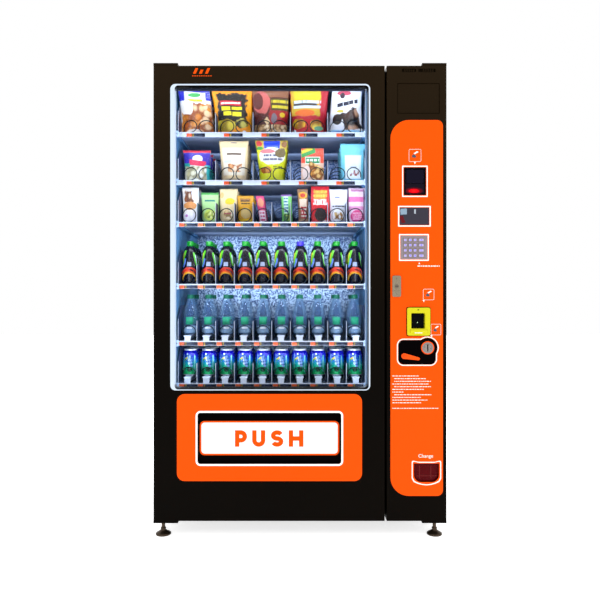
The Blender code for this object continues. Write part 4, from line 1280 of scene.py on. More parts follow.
def make_scanner():
    """Inside the code scanner's dark window: a housing, a bezel and the red glow of the aiming light."""
    x0, z0, x1, z1 = SCANNER
    housing = finish("scanner_housing", srgb(16, 13, 30), 0.5, 0.15, 700.0, 0.1, specular=0.05)
    bezel = finish("scanner_bezel", srgb(6, 5, 7), 0.4, 0.15, 900.0, 0.1, specular=0.05)
    shape = Shape()
    front = MODULE_FRONT_Y
    shape.material = 1
    shape.frame(rounded(SCANNER, 0.003), rounded(grown(SCANNER, -0.0055), 0.002), front - 0.0012, front - 0.0001)
    shape.material = 0
    shape.slab((x0 + 0.009, z0 + 0.048, x1 - 0.009, z1 - 0.009), 0.002, front - 0.0004, front - 0.0001, 3)
    place("scanner_bezel", shape, [housing, bezel], "payment_door", 0.0003)

    g = Graph("scanner_red", specular=0.05)
    x, _, z = g.parts(g.place)
    across = g.math("DIVIDE", g.minus(x, x0 + 0.040), 0.040)
    up = g.math("DIVIDE", g.minus(z, z0 + 0.0165), 0.0150)
    far = g.math("SQRT", g.plus(g.math("POWER", across, 2.0), g.math("POWER", up, 2.0)))
    uneven = g.plus(far, g.times(g.minus(g.noise(90.0), 0.5), 0.25))
    stops = (
        (0.0, srgb(255, 26, 22)), (0.35, srgb(220, 0, 14)), (0.62, srgb(90, 2, 12)), (1.0, srgb(12, 8, 18)),
    )
    glow = g.ramp(uneven, stops)
    g.colour(glow)
    g.glow(glow, 0.8)
    g.rough_from(far, 0.2, 0.3)
    g.bump(g.noise(400.0), 0.04, 0.0002)
    plate = Shape()
    plate.slab((x0 + 0.007, z0 + 0.007, x1 - 0.007, z0 + 0.046), 0.002, front - 0.0006, front - 0.0001, 3)
    place("scanner_light", plate, g.material, "payment_door", 0.0002)


KEY_LABELS = (("1", "2", "3", "A"), ("4", "5", "6", "B"), ("7", "8", "9", "C"), ("*", "0", "#", "D"))


def make_key_labels():
    lit = lamp("key_legend", srgb(112, 104, 240), 0.55)
    pad = finish("key_window", srgb(176, 168, 214), 0.35, 0.05, 700.0, 0.05)
    for row, labels in enumerate(KEY_LABELS):
        for column, label in enumerate(labels):
            x, z = KEY_COLUMNS[column], KEY_ROWS[row]
            half = 0.0088 if column == 3 else 0.0052
            shape = Shape()
            shape.slab((x - half, z - 0.0045, x + half, z + 0.0045), 0.0014, KEY_FRONT_Y - 0.00015, KEY_FRONT_Y, 3)
            shape.material = 1
            shape.lettering(label, 0.0105, (x, z), KEY_FRONT_Y - 0.0004, FILM, weight=0.0003)
            name = f"key_{row + 1}_{column + 1}"
            place(name + "_label", shape, [pad, lit], name)


def make_lock_details():
    """The lock's cylinder and keyhole, the seam across its plate, and its rivets."""
    x, z = LOCK_PIVOT
    y = LOCK_FRONT_Y
    metal = finish("lock_core", srgb(120, 108, 96), 0.3, 0.1, 500.0, 0.1, metallic=0.9)
    shape = Shape()
    shape.pin(x, z, y, y - 0.0016, 0.0085, 24)
    shape.pin(x, z + 0.030, y - 0.0004, y + 0.0002, 0.0026, 12)
    shape.pin(x, z - 0.032, y - 0.0004, y + 0.0002, 0.0026, 12)
    shape.material = 1
    shape.slab((x - 0.0058, z - 0.0013, x + 0.0058, z + 0.0013), 0.001, y - 0.0020, y - 0.0014, 3)
    shape.prism(corners((x - 0.0150, z - 0.0190, x + 0.0150, z - 0.0184)), y - 0.0003, y + 0.0001)
    keyhole = finish("keyhole", srgb(12, 10, 10), 0.6, 0.2)
    place("lock_cylinder", shape, [metal, keyhole], "lock_handle", 0.0003)


def make_bill_details():
    """Dark rollers and guides in the bill mouth, a shadow line round the bezel, the marks moulded in it, and a white
    painted highlight along the bezel's lower lip.
    """
    x0, z0, x1, _ = BILL_MOUTH
    dark = finish("bill_guide", srgb(6, 6, 10), 0.4, 0.2, 600.0, 0.1, specular=0.03)
    gloss = finish("bill_lip_highlight", srgb(250, 250, 236), 0.2, 0.02, 600.0, 0.02)
    green = lamp("bill_ready_light", srgb(190, 230, 180), 0.8)
    y = BILL_MOUTH_Y
    shape = Shape()
    shape.slab(grown(BILL_MOUTH, -0.0015), 0.004, y - 0.0030, y - 0.0002)
    for i in range(5):
        x = x0 + 0.008 + i * (x1 - x0 - 0.016) / 4
        shape.slab((x - 0.0012, z0 + 0.006, x + 0.0012, z0 + 0.016), 0.001, y - 0.0060, y - 0.0030, 2)
    bezel = BILL_BEZEL
    outer, inner = rounded(grown(bezel, 0.0028), 0.0085), rounded(grown(bezel, 0.0003), 0.0065)
    shape.frame(outer, inner, SKIN_FRONT_Y - 0.0006, SKIN_FRONT_Y)
    middle = (x0 + x1) / 2
    top = bezel[3] - 0.011
    shape.prism(((middle - 0.005, top), (middle + 0.005, top), (middle, top + 0.005)), -0.3949, -0.3944)
    # A near-white strip under the mouth: a painted highlight on the bezel's lower lip.
    shape.material = 1
    lip = (middle - 0.016, z0 - 0.0185, middle + 0.016, z0 - 0.0155)
    shape.slab(lip, 0.0014, FRONT_Y - 0.0004, FRONT_Y + 0.004, 3)
    shape.material = 2
    shape.pin(middle, z0 + 0.024, y - 0.0042, y - 0.0030, 0.0017, 12)
    place("bill_mouth_guides", shape, [dark, gloss, green], "payment_door", 0.0003)


def make_coin_details():
    """The brushed disc round the coin slot, its orange ring, and the dark marks on it."""
    x, z = COIN_DISC
    steel = finish("coin_steel", srgb(140, 132, 128), 0.26, 0.12, 40.0, 0.10, 0.0003, (1, 1, 9), metallic=0.85)
    shape = Shape()
    y = COIN_DISC_Y
    shape.frame(circle(x, z, 0.0268), circle(x, z, 0.0228), y - 0.0004, y + 0.0018)
    shape.material = 1
    half_slot, slot_height = 0.0024, 0.0155
    ring = circle(x, z, 0.0227, 32)
    slot = []
    for px, pz in ring:
        dx, dz = px - x, pz - z
        scale = min(half_slot / max(abs(dx), 1e-6), slot_height / max(abs(dz), 1e-6))
        slot.append((x + dx * scale, z + dz * scale))
    shape.frame(ring, slot, y - 0.0012, y - 0.0001)
    shape.material = 2
    shape.frame(circle(x, z, 0.0165), circle(x, z, 0.0158), y - 0.0014, y - 0.0010)
    for dx, dz in ((-0.017, 0.003), (0.017, -0.003)):
        shape.pin(x + dx * 0.72, z + dz, y - 0.0016, y - 0.0011, 0.0017, 10)
    dark = finish("coin_mark", srgb(40, 36, 38), 0.5, 0.1)
    materials = [CAD_FINISHES["orange_plastic"], steel, dark]
    place("coin_slot_disc", shape, materials, "payment_door", 0.0003)


def make_lever_details():
    """A moulded cap over the lever's pivot, with a dark ring on it."""
    x, z = LEVER_PIVOT
    y = LEVER_FRONT_Y
    dark = finish("lever_mark", srgb(120, 30, 8), 0.4, 0.1)
    shape = Shape()
    shape.pin(x, z, y - 0.0012, y + 0.0005, 0.0060, 20)
    shape.material = 1
    shape.frame(circle(x, z, 0.0040, 16), circle(x, z, 0.0030, 16), y - 0.0016, y - 0.0011)
    materials = [CAD_FINISHES["orange_plastic"], dark]
    place("coin_lever_cap", shape, materials, "coin_return_lever", 0.0003)


def make_change_flap_ribs():
    low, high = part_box("change_flap")
    shape = Shape()
    for share in (0.24, 0.68):
        x = low.x + (high.x - low.x) * share
        shape.slab((x - 0.0006, low.z + 0.012, x + 0.0006, high.z - 0.008), 0.0005, low.y - 0.0006, low.y + 0.0001, 2)
    z = low.z + 0.022
    shape.slab((low.x + 0.012, z - 0.0005, high.x - 0.010, z + 0.0005), 0.0004, low.y - 0.0006, low.y + 0.0001, 2)
    rib = finish("flap_rib", srgb(126, 48, 46), 0.3, 0.05, specular=0.1)
    place("change_flap_ribs", shape, rib, "change_flap")


# ---------------------------------------------------------------- stock


def pillow(width, height, depth, seed, taper=0.0, lean=0.0, nod=0.0, stands=False, columns=26, rows=38):
    """A sealed bag of film. It bulges between crimped ends, narrows where it is fullest, and is creased all over.
    Its bottom middle is the origin and its front faces -Y. A bag that stands is fullest near its bottom.
    Its top leans towards the glass by nod, over the spiral's first coil."""
    seal = 0.055
    shape = Shape()
    shape.smooth = True

    def point(s, t, side):
        inner = min(1.0, max(0.0, (t - seal) / (1 - 2 * seal)))
        if stands:
            full = min(1.0, inner / 0.10) ** 0.5 * (1 - inner) ** 0.65 * 1.05
            full = min(full, 1.0)
        else:
            full = math.sin(math.pi * inner) ** 0.6 * (1.10 - 0.28 * inner)
        across = (1 - abs(s) ** 2.8) ** 0.75 if abs(s) < 1 else 0.0
        gather = math.exp(-min(inner, 1 - inner) / 0.16) if 0 < inner < 1 else 1.0
        wave = noise.noise(Vector((s * 2.1, t * 3.3, seed + side * 7.0)))
        fold = noise.noise(Vector((s * 9.0 + seed, t * 1.6, side * 5.0)))
        crease = abs(noise.noise(Vector((s * 4.0 - seed, t * 6.0, side * 3.0))))
        y = side * depth / 2 * full * across * (1 + 0.22 * wave)
        y += side * depth * across * (0.10 * gather * fold * (0.3 + full) - 0.10 * crease * full)
        squeeze = 1 - 0.09 * full * (depth / width) ** 0.5 + taper * (t - 0.5)
        edge = 1 + 0.018 * noise.noise(Vector((t * 7.0, seed, s * 0.5)))
        x = s * width / 2 * squeeze * edge + math.tan(math.radians(lean)) * height * t
        z = height * t * (1 + 0.008 * noise.noise(Vector((s * 3.0, seed, 2.0))))
        bow = 0.012 * math.sin(math.pi * t) + 0.006 * wave
        forward = nod * max(0.0, (t - 0.30) / 0.70) ** 1.4
        return Vector((x, y + bow * depth * 3 - forward, z))

    layers = {}
    for side in (-1, 1):
        for row in range(rows + 1):
            for column in range(columns + 1):
                s, t = column / columns * 2 - 1, row / rows
                on_edge = column in (0, columns) or row in (0, rows)
                if side == 1 and on_edge:
                    layers[side, row, column] = layers[-1, row, column]
                else:
                    middle = point(s, t, -1) if on_edge else point(s, t, side)
                    if not on_edge:
                        middle.y += side * 0.0003
                    layers[side, row, column] = shape.bm.verts.new(middle)
        for row in range(rows):
            for column in range(columns):
                corners = ((row, column), (row, column + 1), (row + 1, column + 1), (row + 1, column))
                vertices = [layers[side, r, c] for r, c in corners]
                uvs = [(c / columns, r / rows) for r, c in corners]
                if side == 1:
                    vertices, uvs = vertices[::-1], uvs[::-1]
                shape.face(vertices, uvs)
    return shape


def carton(width, height, depth):
    """A folding carton: a box with rounded folds and tucked flaps on top."""
    shape = Shape()
    box = (-width / 2, 0.0, width / 2, height)
    shape.slab(box, 0.0012, -depth / 2, depth / 2, 2, box)
    lid = (-width / 2 + 0.001, height - 0.0002, width / 2 - 0.001, height + 0.0006)
    shape.slab(lid, 0.0003, -depth / 2 + 0.002, depth / 2 - 0.001, 1, (-1, 0, 1, 2))
    return shape


CRISP = (srgb(176, 96, 30), srgb(226, 160, 70), srgb(246, 208, 130))
PALE = (srgb(168, 120, 70), srgb(222, 184, 130), srgb(246, 226, 190))
CHOCOLATE = (srgb(36, 18, 14), srgb(70, 38, 28), srgb(186, 140, 110))
SHELLED = (srgb(196, 158, 96), srgb(232, 210, 158), srgb(248, 240, 214))


FOODS = {"crisp": CRISP, "pale": PALE, "chocolate": CHOCOLATE, "shelled": SHELLED}

# The print of each package. A line at the margin has its name, its ground colour and its finish. The indented lines
# under it are the shapes laid over that ground, in order: the kind of shape, its box in the face's square, its colour
# from 0 to 255 (three of them, or the name of a food, for crumbs) and its options.
PACKAGES = """
bag_corn 244,240,238
  block 0,.8,1,1 40,40,190 ragged=.1
  block .18,.74,.84,.965 244,244,248 tilt=4
  oval .3,.86,.7,.95 60,170,80 ragged=.3
  block .2,.775,.74,.825 214,216,40 tilt=2
  crumbs .05,.06,1,.74 196,96,24/240,160,60/250,214,170 scale=5.5 aspect=1.3
  oval .02,.52,.44,.82 248,240,232 ragged=.6
  marks .8,.84,.99,.97 150,150,230 rows=4 scale=8
  oval .22,.08,.62,.2 246,228,214 ragged=.5
  block 0,0,1,.065 40,40,190 ragged=.12
bag_potato 250,158,10
  block .1,.36,.86,.93 26,20,20 ragged=.7
  block .18,.58,.84,.8 28,22,24 ragged=.3
  block .17,.7,.72,.79 206,40,50 tilt=2
  marks .2,.715,.7,.775 250,240,240 rows=1 density=.4
  block .2,.6,.44,.68 238,226,30 ragged=.5
  block .46,.61,.74,.67 238,226,30 ragged=.5
  block .24,.5,.46,.58 238,226,30 ragged=.5
  block .48,.48,.72,.57 238,226,30 ragged=.5
  crumbs .02,.14,.56,.42 200,170,20/240,222,70/250,240,140 scale=4 ragged=.6 round_shape=1
  crumbs .56,.22,.9,.44 50,40,20/160,140,40/210,200,90 scale=6 ragged=.7 round_shape=1
  oval .74,.1,.84,.165 236,240,240 ragged=.2
bag_shrimp 84,34,30
  block 0,.86,1,1 140,88,60 ragged=.4
  block .45,.25,1,.72 160,30,32 ragged=.6
  oval .02,.54,.5,.98 196,96,92 ragged=.5
  oval .02,.62,.3,.94 96,40,38 ragged=.4
  block .5,.6,.99,.84 76,60,20 ragged=.3
  marks .53,.62,.98,.83 206,190,40 rows=2 density=.4 scale=10
  oval .76,.46,.9,.56 226,190,40 ragged=.5
  oval .5,.34,.68,.54 120,106,120 ragged=.9
  crumbs 0,.02,1,.3 pale scale=11 ragged=.4
  block .32,.32,.46,.44 226,196,150 tilt=50 ragged=.3
bag_barbecue 186,34,52
  block .02,.5,.8,.99 206,168,46 ragged=.35
  block .1,.8,.82,.99 214,196,40 ragged=.4
  block .08,.66,.72,.8 70,62,60 ragged=.5
  marks .08,.62,.82,.82 206,220,236 rows=2 density=.38 scale=9
  oval .12,.48,.66,.62 226,110,40 ragged=.3
  block 0,.05,1,.42 196,28,38 ragged=.2
  crumbs .04,.2,.4,.44 210,130,20/240,196,40/248,226,90 scale=4 round_shape=1
  crumbs .54,.18,.86,.42 210,130,20/240,196,40/248,226,90 scale=4 round_shape=1
  oval .66,.16,.9,.27 120,190,150 ragged=.5
  oval .04,.1,.14,.19 226,232,240 ragged=.2
  block .1,0,.92,.09 24,12,16 ragged=.6
bag_chocolate 236,238,248
  block 0,.84,1,1 228,232,246 ragged=.3
  oval .2,.9,.62,1 196,70,96 ragged=.8
  oval .28,.84,.44,.96 60,30,50 ragged=.9
  marks .2,.68,.86,.82 20,22,52 rows=1 tilt=-8 density=.42 scale=7
  ring .26,.54,.66,.7 150,170,226 width=.06
  oval .2,.56,.42,.62 206,190,70 ragged=.5
  crumbs .42,.16,.92,.62 chocolate scale=4.5 ragged=.8 tilt=-20
  crumbs .1,.3,.36,.54 chocolate scale=5 ragged=.8 round_shape=1
  block 0,.02,1,.18 150,206,238 ragged=.5
  marks .02,.1,.36,.16 50,80,200 rows=1 density=.36 scale=6
pouch_popcorn 238,234,222
  block 0,.93,1,1 206,24,60
  block 0,.56,1,.93 60,44,168 ragged=.15
  oval .34,.64,.72,.86 232,236,246 ragged=.2
  block .22,.54,.84,.7 222,36,84 tilt=6
  block .8,.05,1,.56 60,190,190 ragged=.4
  block 0,.46,.24,.62 40,160,150 ragged=.4
  crumbs .06,.06,.86,.52 206,196,150/242,238,214/250,250,240 scale=7 ragged=.4
pouch_craft 226,202,158 rough=.5
  block .1,.2,.9,.84 238,230,214
  marks .24,.66,.76,.74 96,76,66 rows=1 density=.3 scale=12
  marks .4,.94,.6,.97 70,70,110 rows=1 density=.3 scale=8
  crumbs .28,.28,.76,.46 226,130,60/240,200,150/240,226,206 scale=8 ragged=.9
  block .14,.5,.4,.56 206,224,226 ragged=.5
bag_nuts 222,226,30
  block 0,.8,1,1 196,170,60 ragged=.3
  oval .02,.86,.2,.99 200,40,40 ragged=.6
  oval .02,.78,.22,.86 60,150,60 ragged=.6
  oval .8,.84,.99,.98 140,90,40 ragged=.6
  block .26,.79,.76,.99 24,60,206 ragged=.1
  marks .34,.82,.7,.86 120,160,240 rows=1 density=.36 scale=6
  oval .08,.44,.96,.84 226,230,236 ragged=.4
  oval .1,.7,.62,.8 214,120,130 ragged=.6
  marks .2,.52,.88,.7 96,100,130 rows=2 density=.42 scale=9
  oval .62,.6,.98,.82 110,96,60 ragged=.8
  crumbs .08,.24,.52,.4 crisp scale=7 ragged=.7 round_shape=1
  marks .56,.34,.92,.42 60,80,40 rows=2 density=.44 scale=8
pouch_crackers 226,190,170
  block 0,.58,1,1 222,70,44 ragged=.1
  block 0,.8,.62,1 50,150,70 tilt=-14 ragged=.2
  block 0,.9,.5,1 210,190,40 tilt=-14 ragged=.3
  block .18,.56,.84,.76 226,240,232
  block .2,.58,.82,.74 14,136,84 ragged=.1
  marks .22,.6,.8,.73 220,240,224 rows=1 scale=6
  crumbs .3,.12,.98,.54 crisp scale=6 aspect=1.4 ragged=.3 tilt=20
  oval .06,.1,.4,.5 236,216,214 ragged=.6
pouch_blue 112,196,220 rough=.42
  block .18,.12,.84,.72 222,232,240
  marks .4,.4,.66,.45 150,160,176 rows=1 density=.32 scale=6
  crumbs .4,.2,.76,.34 170,60,50/220,210,220/226,232,240 scale=9 ragged=.9
pouch_fish 244,236,232
  crumbs .14,.6,.86,.9 150,80,40/226,160,96/240,220,196 scale=6 ragged=.7
  oval .08,.4,.86,.62 226,150,80 ragged=.5
  oval .56,.66,1,1 226,236,246 ragged=.6
  block 0,0,1,.3 244,240,246
  block 0,0,1,.03 240,90,120
  oval .18,.2,.34,.28 200,130,200 ragged=.4
pouch_green 176,222,150 rough=.42
  block 0,.93,1,1 90,180,90
  marks .2,.7,.8,.8 40,130,120 rows=1 density=.34 scale=9
  oval .14,.12,.88,.48 204,222,96 ragged=.25
  crumbs .26,.2,.78,.42 140,170,40/200,214,90/226,232,150 scale=8 round_shape=1
  block 0,0,1,.07 20,150,80
pouch_cream 232,212,166 rough=.42
  oval .3,.56,.86,.74 238,206,40 ragged=.4
  crumbs .24,.16,.84,.44 shelled scale=6 ragged=.4 round_shape=1
  marks .28,.28,.7,.34 176,70,90 rows=1 density=.4 scale=8
  oval .02,.74,.22,.9 226,190,120 ragged=.6
pouch_gold 216,158,28 rough=.4
  block .18,.78,.8,.9 150,96,20 ragged=.5
  marks .22,.68,.76,.86 60,44,20 rows=2 density=.42 scale=8
  oval .18,.22,.82,.58 206,178,110 ragged=.3
  block 0,0,1,.2 236,190,20 ragged=.3
bar_pink 226,70,130
  block 0,0,1,.5 214,60,120 ragged=.2
  oval .1,.62,.9,.92 226,150,120 ragged=.6
  block .08,.1,.92,.5 240,226,240
  marks .2,.12,.8,.48 206,50,120 density=.42 scale=4
bar_green 120,206,110
  block .22,.38,.66,.94 206,236,226
  marks .24,.4,.64,.92 40,120,170 rows=5 density=.4 scale=4
  crumbs .16,.06,.9,.36 40,120,60/110,190,60/190,220,90 scale=6 aspect=2.5
  block 0,.94,1,1 150,110,190
bar_brown 150,110,80
  oval .1,.72,.92,.92 226,170,30 ragged=.4
  oval .24,.76,.76,.88 206,60,30 ragged=.4
  block .16,.44,.86,.72 226,206,190 ragged=.5
  block .24,.18,.84,.5 176,30,44 ragged=.3
  marks .26,.2,.82,.48 240,226,220 density=.44 scale=4
  block 0,0,1,.16 180,140,110 ragged=.5
box_fries 214,14,36 rough=.4 creases=.05 seals=0
  block .16,.66,.84,.9 206,150,40 ragged=.8
  marks .12,.7,.88,.92 240,200,70 rows=2 density=.44 scale=14
  block .14,.52,.86,.66 246,240,240 ragged=.7
  marks .12,.5,.88,.68 200,20,40 rows=1 density=.52 scale=8
  oval .2,.08,.86,.44 36,8,14 ragged=.5
  block .64,.06,.84,.12 240,220,220 ragged=.5
pouch_window 226,230,244 rough=.42
  marks .3,.74,.56,.8 110,120,180 rows=1 density=.3 scale=6
  marks .16,.48,.9,.56 70,64,80 rows=1 density=.42 scale=14
  oval .14,.06,.88,.46 236,238,246
  crumbs .28,.14,.76,.34 170,110,40/222,190,120/236,236,240 scale=8 ragged=1
  ring .12,.05,.9,.47 60,62,84 width=.05
pouch_pink 240,214,232 rough=.42
  block 0,.62,1,.76 230,110,176 ragged=.2
  block 0,.4,1,.5 232,150,200 ragged=.3
  block .14,.9,.86,.96 206,130,180
  oval .1,.04,.9,.4 226,70,140 ragged=.2
  marks .22,.12,.78,.34 240,180,214 rows=4 density=.42 scale=8
  block 0,0,1,.04 110,60,90
"""


def read_options(words):
    return {key: float(value) for key, value in (word.split("=") for word in words)}


def read_colour(text):
    """One colour, or the three colours of a food."""
    if text in FOODS:
        return FOODS[text]
    colours = tuple(srgb(*map(int, part.split(","))) for part in text.split("/"))
    return colours if len(colours) > 1 else colours[0]


def read_packages():
    """The lines of PACKAGES as words, the package's own line first, by the package's name."""
    packages = {}
    for line in PACKAGES.strip().splitlines():
        words = line.split()
        if line.startswith(" "):
            packages[name].append(words)
        else:
            name = words[0]
            packages[name] = [words[1:]]
    return packages


def package_print(name, lines):
    (ground, *finish_options), *shapes = lines
    p = Print(name, read_colour(ground))
    for kind, box, colour, *options in shapes:
        draw = getattr(p, kind)
        draw(tuple(float(value) for value in box.split(",")), read_colour(colour), **read_options(options))
    return p.done(**read_options(finish_options))


# Each item: its package's name, whether it is a bag, a standing pouch or a carton, and in metres its width, height
# and depth. Then its shift from the lane's middle, its taper (wider at the top if positive) and its lean in degrees.
SNACKS = {
    0: (
        ("bag_corn", "bag", 0.150, 0.180, 0.046, -0.012, -0.18, 0),
        ("bag_potato", "bag", 0.172, 0.180, 0.048, -0.010, 0.06, 0),
        ("bag_shrimp", "bag", 0.163, 0.180, 0.050, -0.006, 0.04, 0),
        ("bag_barbecue", "bag", 0.165, 0.180, 0.048, 0.000, 0.05, 0),
        ("bag_chocolate", "bag", 0.150, 0.178, 0.046, 0.002, -0.28, 0),
    ),
    1: (
        ("pouch_popcorn", "bag", 0.122, 0.145, 0.040, -0.010, 0.06, 0),
        ("pouch_craft", "stands", 0.125, 0.188, 0.042, -0.008, 0.10, 0),
        ("bag_nuts", "bag", 0.128, 0.190, 0.046, -0.003, 0.30, 0),
        ("pouch_crackers", "carton", 0.100, 0.157, 0.040, 0.016, 0.0, 0),
        ("pouch_blue", "stands", 0.112, 0.175, 0.040, 0.033, 0.06, 0),
    ),
    2: (
        ("pouch_fish", "stands", 0.075, 0.165, 0.036, 0.001, 0.0, 0),
        ("pouch_green", "stands", 0.078, 0.142, 0.036, 0.006, 0.0, 0),
        ("pouch_cream", "stands", 0.080, 0.159, 0.038, 0.004, 0.04, 2),
        ("pouch_gold", "bag", 0.076, 0.128, 0.034, 0.003, -0.05, 0),
        ("bar_pink", "bag", 0.036, 0.127, 0.016, 0.002, -0.05, -8),
        ("bar_green", "bag", 0.048, 0.133, 0.020, 0.026, 0.0, -2),
        ("bar_brown", "bag", 0.047, 0.159, 0.022, 0.018, 0.0, -2),
        ("box_fries", "carton", 0.080, 0.170, 0.034, 0.010, 0.0, 0),
        ("pouch_window", "stands", 0.082, 0.157, 0.036, 0.010, 0.0, 0),
        ("pouch_pink", "stands", 0.080, 0.163, 0.038, 0.013, 0.02, 0),
    ),
}
FIRST_ITEM_Y = -0.146
ITEMS_PER_LANE = 3
ITEM_LIFT = 0.0006  # clear of the tray's floor
ITEM_TILT = math.radians(-2.5)  # each item rests back against the coil behind it
ITEM_NODS = (0.095, 0.030, 0.020)  # how far the tops of bags lean forward, tray by tray


def make_snacks():
    """Bags, pouches and cartons in the upper three trays, three of each behind one another."""
    packages = read_packages()
    for tray, items in SNACKS.items():
        turns = 6 if LANE_COUNTS[tray] == 5 else 7
        pitch = (SPIRAL_Y[1] - SPIRAL_Y[0]) / turns
        for lane, (label, kind, width, height, depth, shift, taper, lean) in enumerate(items):
            material = package_print(label, packages[label])
            if kind == "carton":
                shape = carton(width, height, depth)
            else:
                seed, nod = tray * 10 + lane + 0.5, ITEM_NODS[tray]
                shape = pillow(width, height, depth, seed, taper, lean, nod, kind == "stands")
            mesh = shape.mesh(label)
            mesh.materials.append(material)
            x = lane_centre(tray, lane) + shift
            for copy in range(ITEMS_PER_LANE):
                here = Matrix.Translation((x, FIRST_ITEM_Y + copy * pitch, floor_z(tray) + ITEM_LIFT))
                place(f"{label}_{copy + 1}", mesh, None, "cabinet", at=here @ Matrix.Rotation(ITEM_TILT, 4, "X"))


def band(p, low, high, soft=0.01):
    """A mask of the heights between low and high, as shares of a bottle or can."""
    _, v, _ = p.parts(p.print)
    return p.times(p.between(v, low - soft, low + soft), p.minus(1.0, p.between(v, high - soft, high + soft)))


def grape_label(name, cap):
    """Dark juice in a shrink sleeve: an arch of red, orange and yellow over the belly and leaves on the shoulder, with
    a blue and a pale strip at the sides painted as highlights.
    """
    p = Print(name, srgb(12, 8, 22), specular=0.3)
    u, v, _ = p.parts(p.print)
    across = p.times(p.math("SINE", p.times(p.minus(u, 0.5), 2 * math.pi)), 0.202)
    ragged = p.times(p.minus(p.noise(9.0, 4.0, at=p.print), 0.5), 0.06)

    def reach(centre):
        """How far a point of the sleeve's front lies from a centre on its middle line, in shares of its height."""
        up = p.minus(v, centre)
        square = p.plus(p.times(across, across), p.times(up, up))
        return p.plus(p.math("SQRT", square), ragged)

    fire = p.ramp(reach(0.112), (
        (0.148, srgb(10, 6, 20)), (0.162, srgb(232, 186, 40)), (0.195, srgb(238, 118, 34)),
        (0.235, srgb(214, 46, 34)), (0.300, srgb(204, 66, 54)),
    ))
    p.over(p.minus(1.0, p.between(reach(0.224), 0.200, 0.212)), fire)
    # The green and yellow strips are leaves; the blue strip on the left and the pale strip on the right are painted
    # highlights on the glossy sleeve.
    for box, colour, tilt in (
        ((0.335, 0.50, 0.40, 0.86), srgb(96, 190, 40), 12), ((0.30, 0.56, 0.345, 0.80), srgb(206, 206, 60), 12),
        ((0.36, 0.44, 0.41, 0.66), srgb(96, 130, 220), 14), ((0.62, 0.46, 0.67, 0.82), srgb(90, 190, 50), -14),
        ((0.66, 0.52, 0.69, 0.74), srgb(190, 210, 230), -14),
    ):
        p.block(box, colour, tilt=tilt, ragged=0.8)
    p.block((0.452, 0.450, 0.548, 0.560), srgb(150, 160, 190), ragged=0.25)
    p.over(p.times(band(p, 0.0, 0.30), p.between(p.noise(30.0, 4.0, at=p.print), 0.62, 0.70)), srgb(60, 50, 96))
    p.over(band(p, 0.975, 1.1), cap)
    return p.done(rough=0.24, creases=0.10, crease_scale=5.0, seals=False)


def can_label(name):
    """Blue fading down to green, with pale streaks at the sides painted as highlights, a yellow leaf shape, a slanted
    white swash and a dark patch of painted shade low on the front.
    """
    p = Print(name, srgb(30, 150, 84), metallic=0.35, coat=0.3)
    _, v, _ = p.parts(p.print)
    drift = p.times(p.minus(p.noise(5.0, 3.0, at=p.print), 0.5), 0.2)
    p.ink = p.ramp(p.plus(v, drift), (
        (0.10, srgb(24, 180, 100)), (0.36, srgb(20, 184, 146)), (0.58, srgb(18, 104, 200)), (0.76, srgb(6, 8, 176)),
    ))
    p.block((0.462, 0.40, 0.488, 0.88), srgb(196, 222, 240), tilt=-4, ragged=0.7)
    p.block((0.488, 0.34, 0.545, 0.78), srgb(112, 146, 214), tilt=-6, ragged=0.9)
    p.marks((0.455, 0.36, 0.585, 0.84), srgb(30, 90, 150), 4, tilt=-14, density=0.44, scale=5)
    p.oval((0.405, 0.56, 0.455, 0.72), srgb(226, 206, 60), tilt=24, ragged=0.3)
    p.oval((0.395, 0.54, 0.430, 0.66), srgb(30, 150, 84), tilt=24)
    # Painted highlights: the cyan streak on the right and the pale streak on the left.
    p.block((0.592, 0.10, 0.622, 0.80), srgb(110, 204, 200), ragged=0.6)
    p.block((0.375, 0.14, 0.388, 0.84), srgb(120, 190, 190), ragged=0.6)
    # Painted shade: a dark patch low in the middle of the front, where the coil's first turn passes.
    p.oval((0.45, 0.12, 0.55, 0.30), srgb(20, 70, 50), ragged=0.6)
    metal = srgb(200, 206, 214)
    p.over(band(p, -0.1, 0.016), metal)
    p.over(band(p, 0.968, 1.1), metal)
    return p.done(rough=0.26, creases=0.04, seals=False)


def grape_profile():
    """Radii and heights of the juice bottle: foot, belly, waist, shoulder, neck and ribbed cap, in metres."""
    return (
        (0.0, 0.004), (0.022, 0.0), (0.031, 0.003), (0.0352, 0.009), (0.0362, 0.020), (0.0362, 0.066),
        (0.0352, 0.078), (0.0322, 0.092), (0.0306, 0.100), (0.0308, 0.107), (0.0316, 0.116), (0.0316, 0.130),
        (0.0300, 0.145), (0.0258, 0.159), (0.0190, 0.170), (0.0140, 0.175), (0.0132, 0.179),
    )


def cap_profile(radius, low, height):
    return (
        (radius * 0.90, low), (radius, low + 0.0006), (radius, low + 0.0022), (radius * 0.96, low + 0.003),
        (radius * 0.96, low + height - 0.0020), (radius * 0.90, low + height - 0.0004), (0.0, low + height),
    )


JUICE_TRAY, WATER_TRAY, CAN_TRAY = 3, 4, 5
CAN_SETBACK = 0.0065  # so that each can's front clears the spiral's first turn
RISER_HEIGHTS = {WATER_TRAY: 0.027, CAN_TRAY: 0.031}
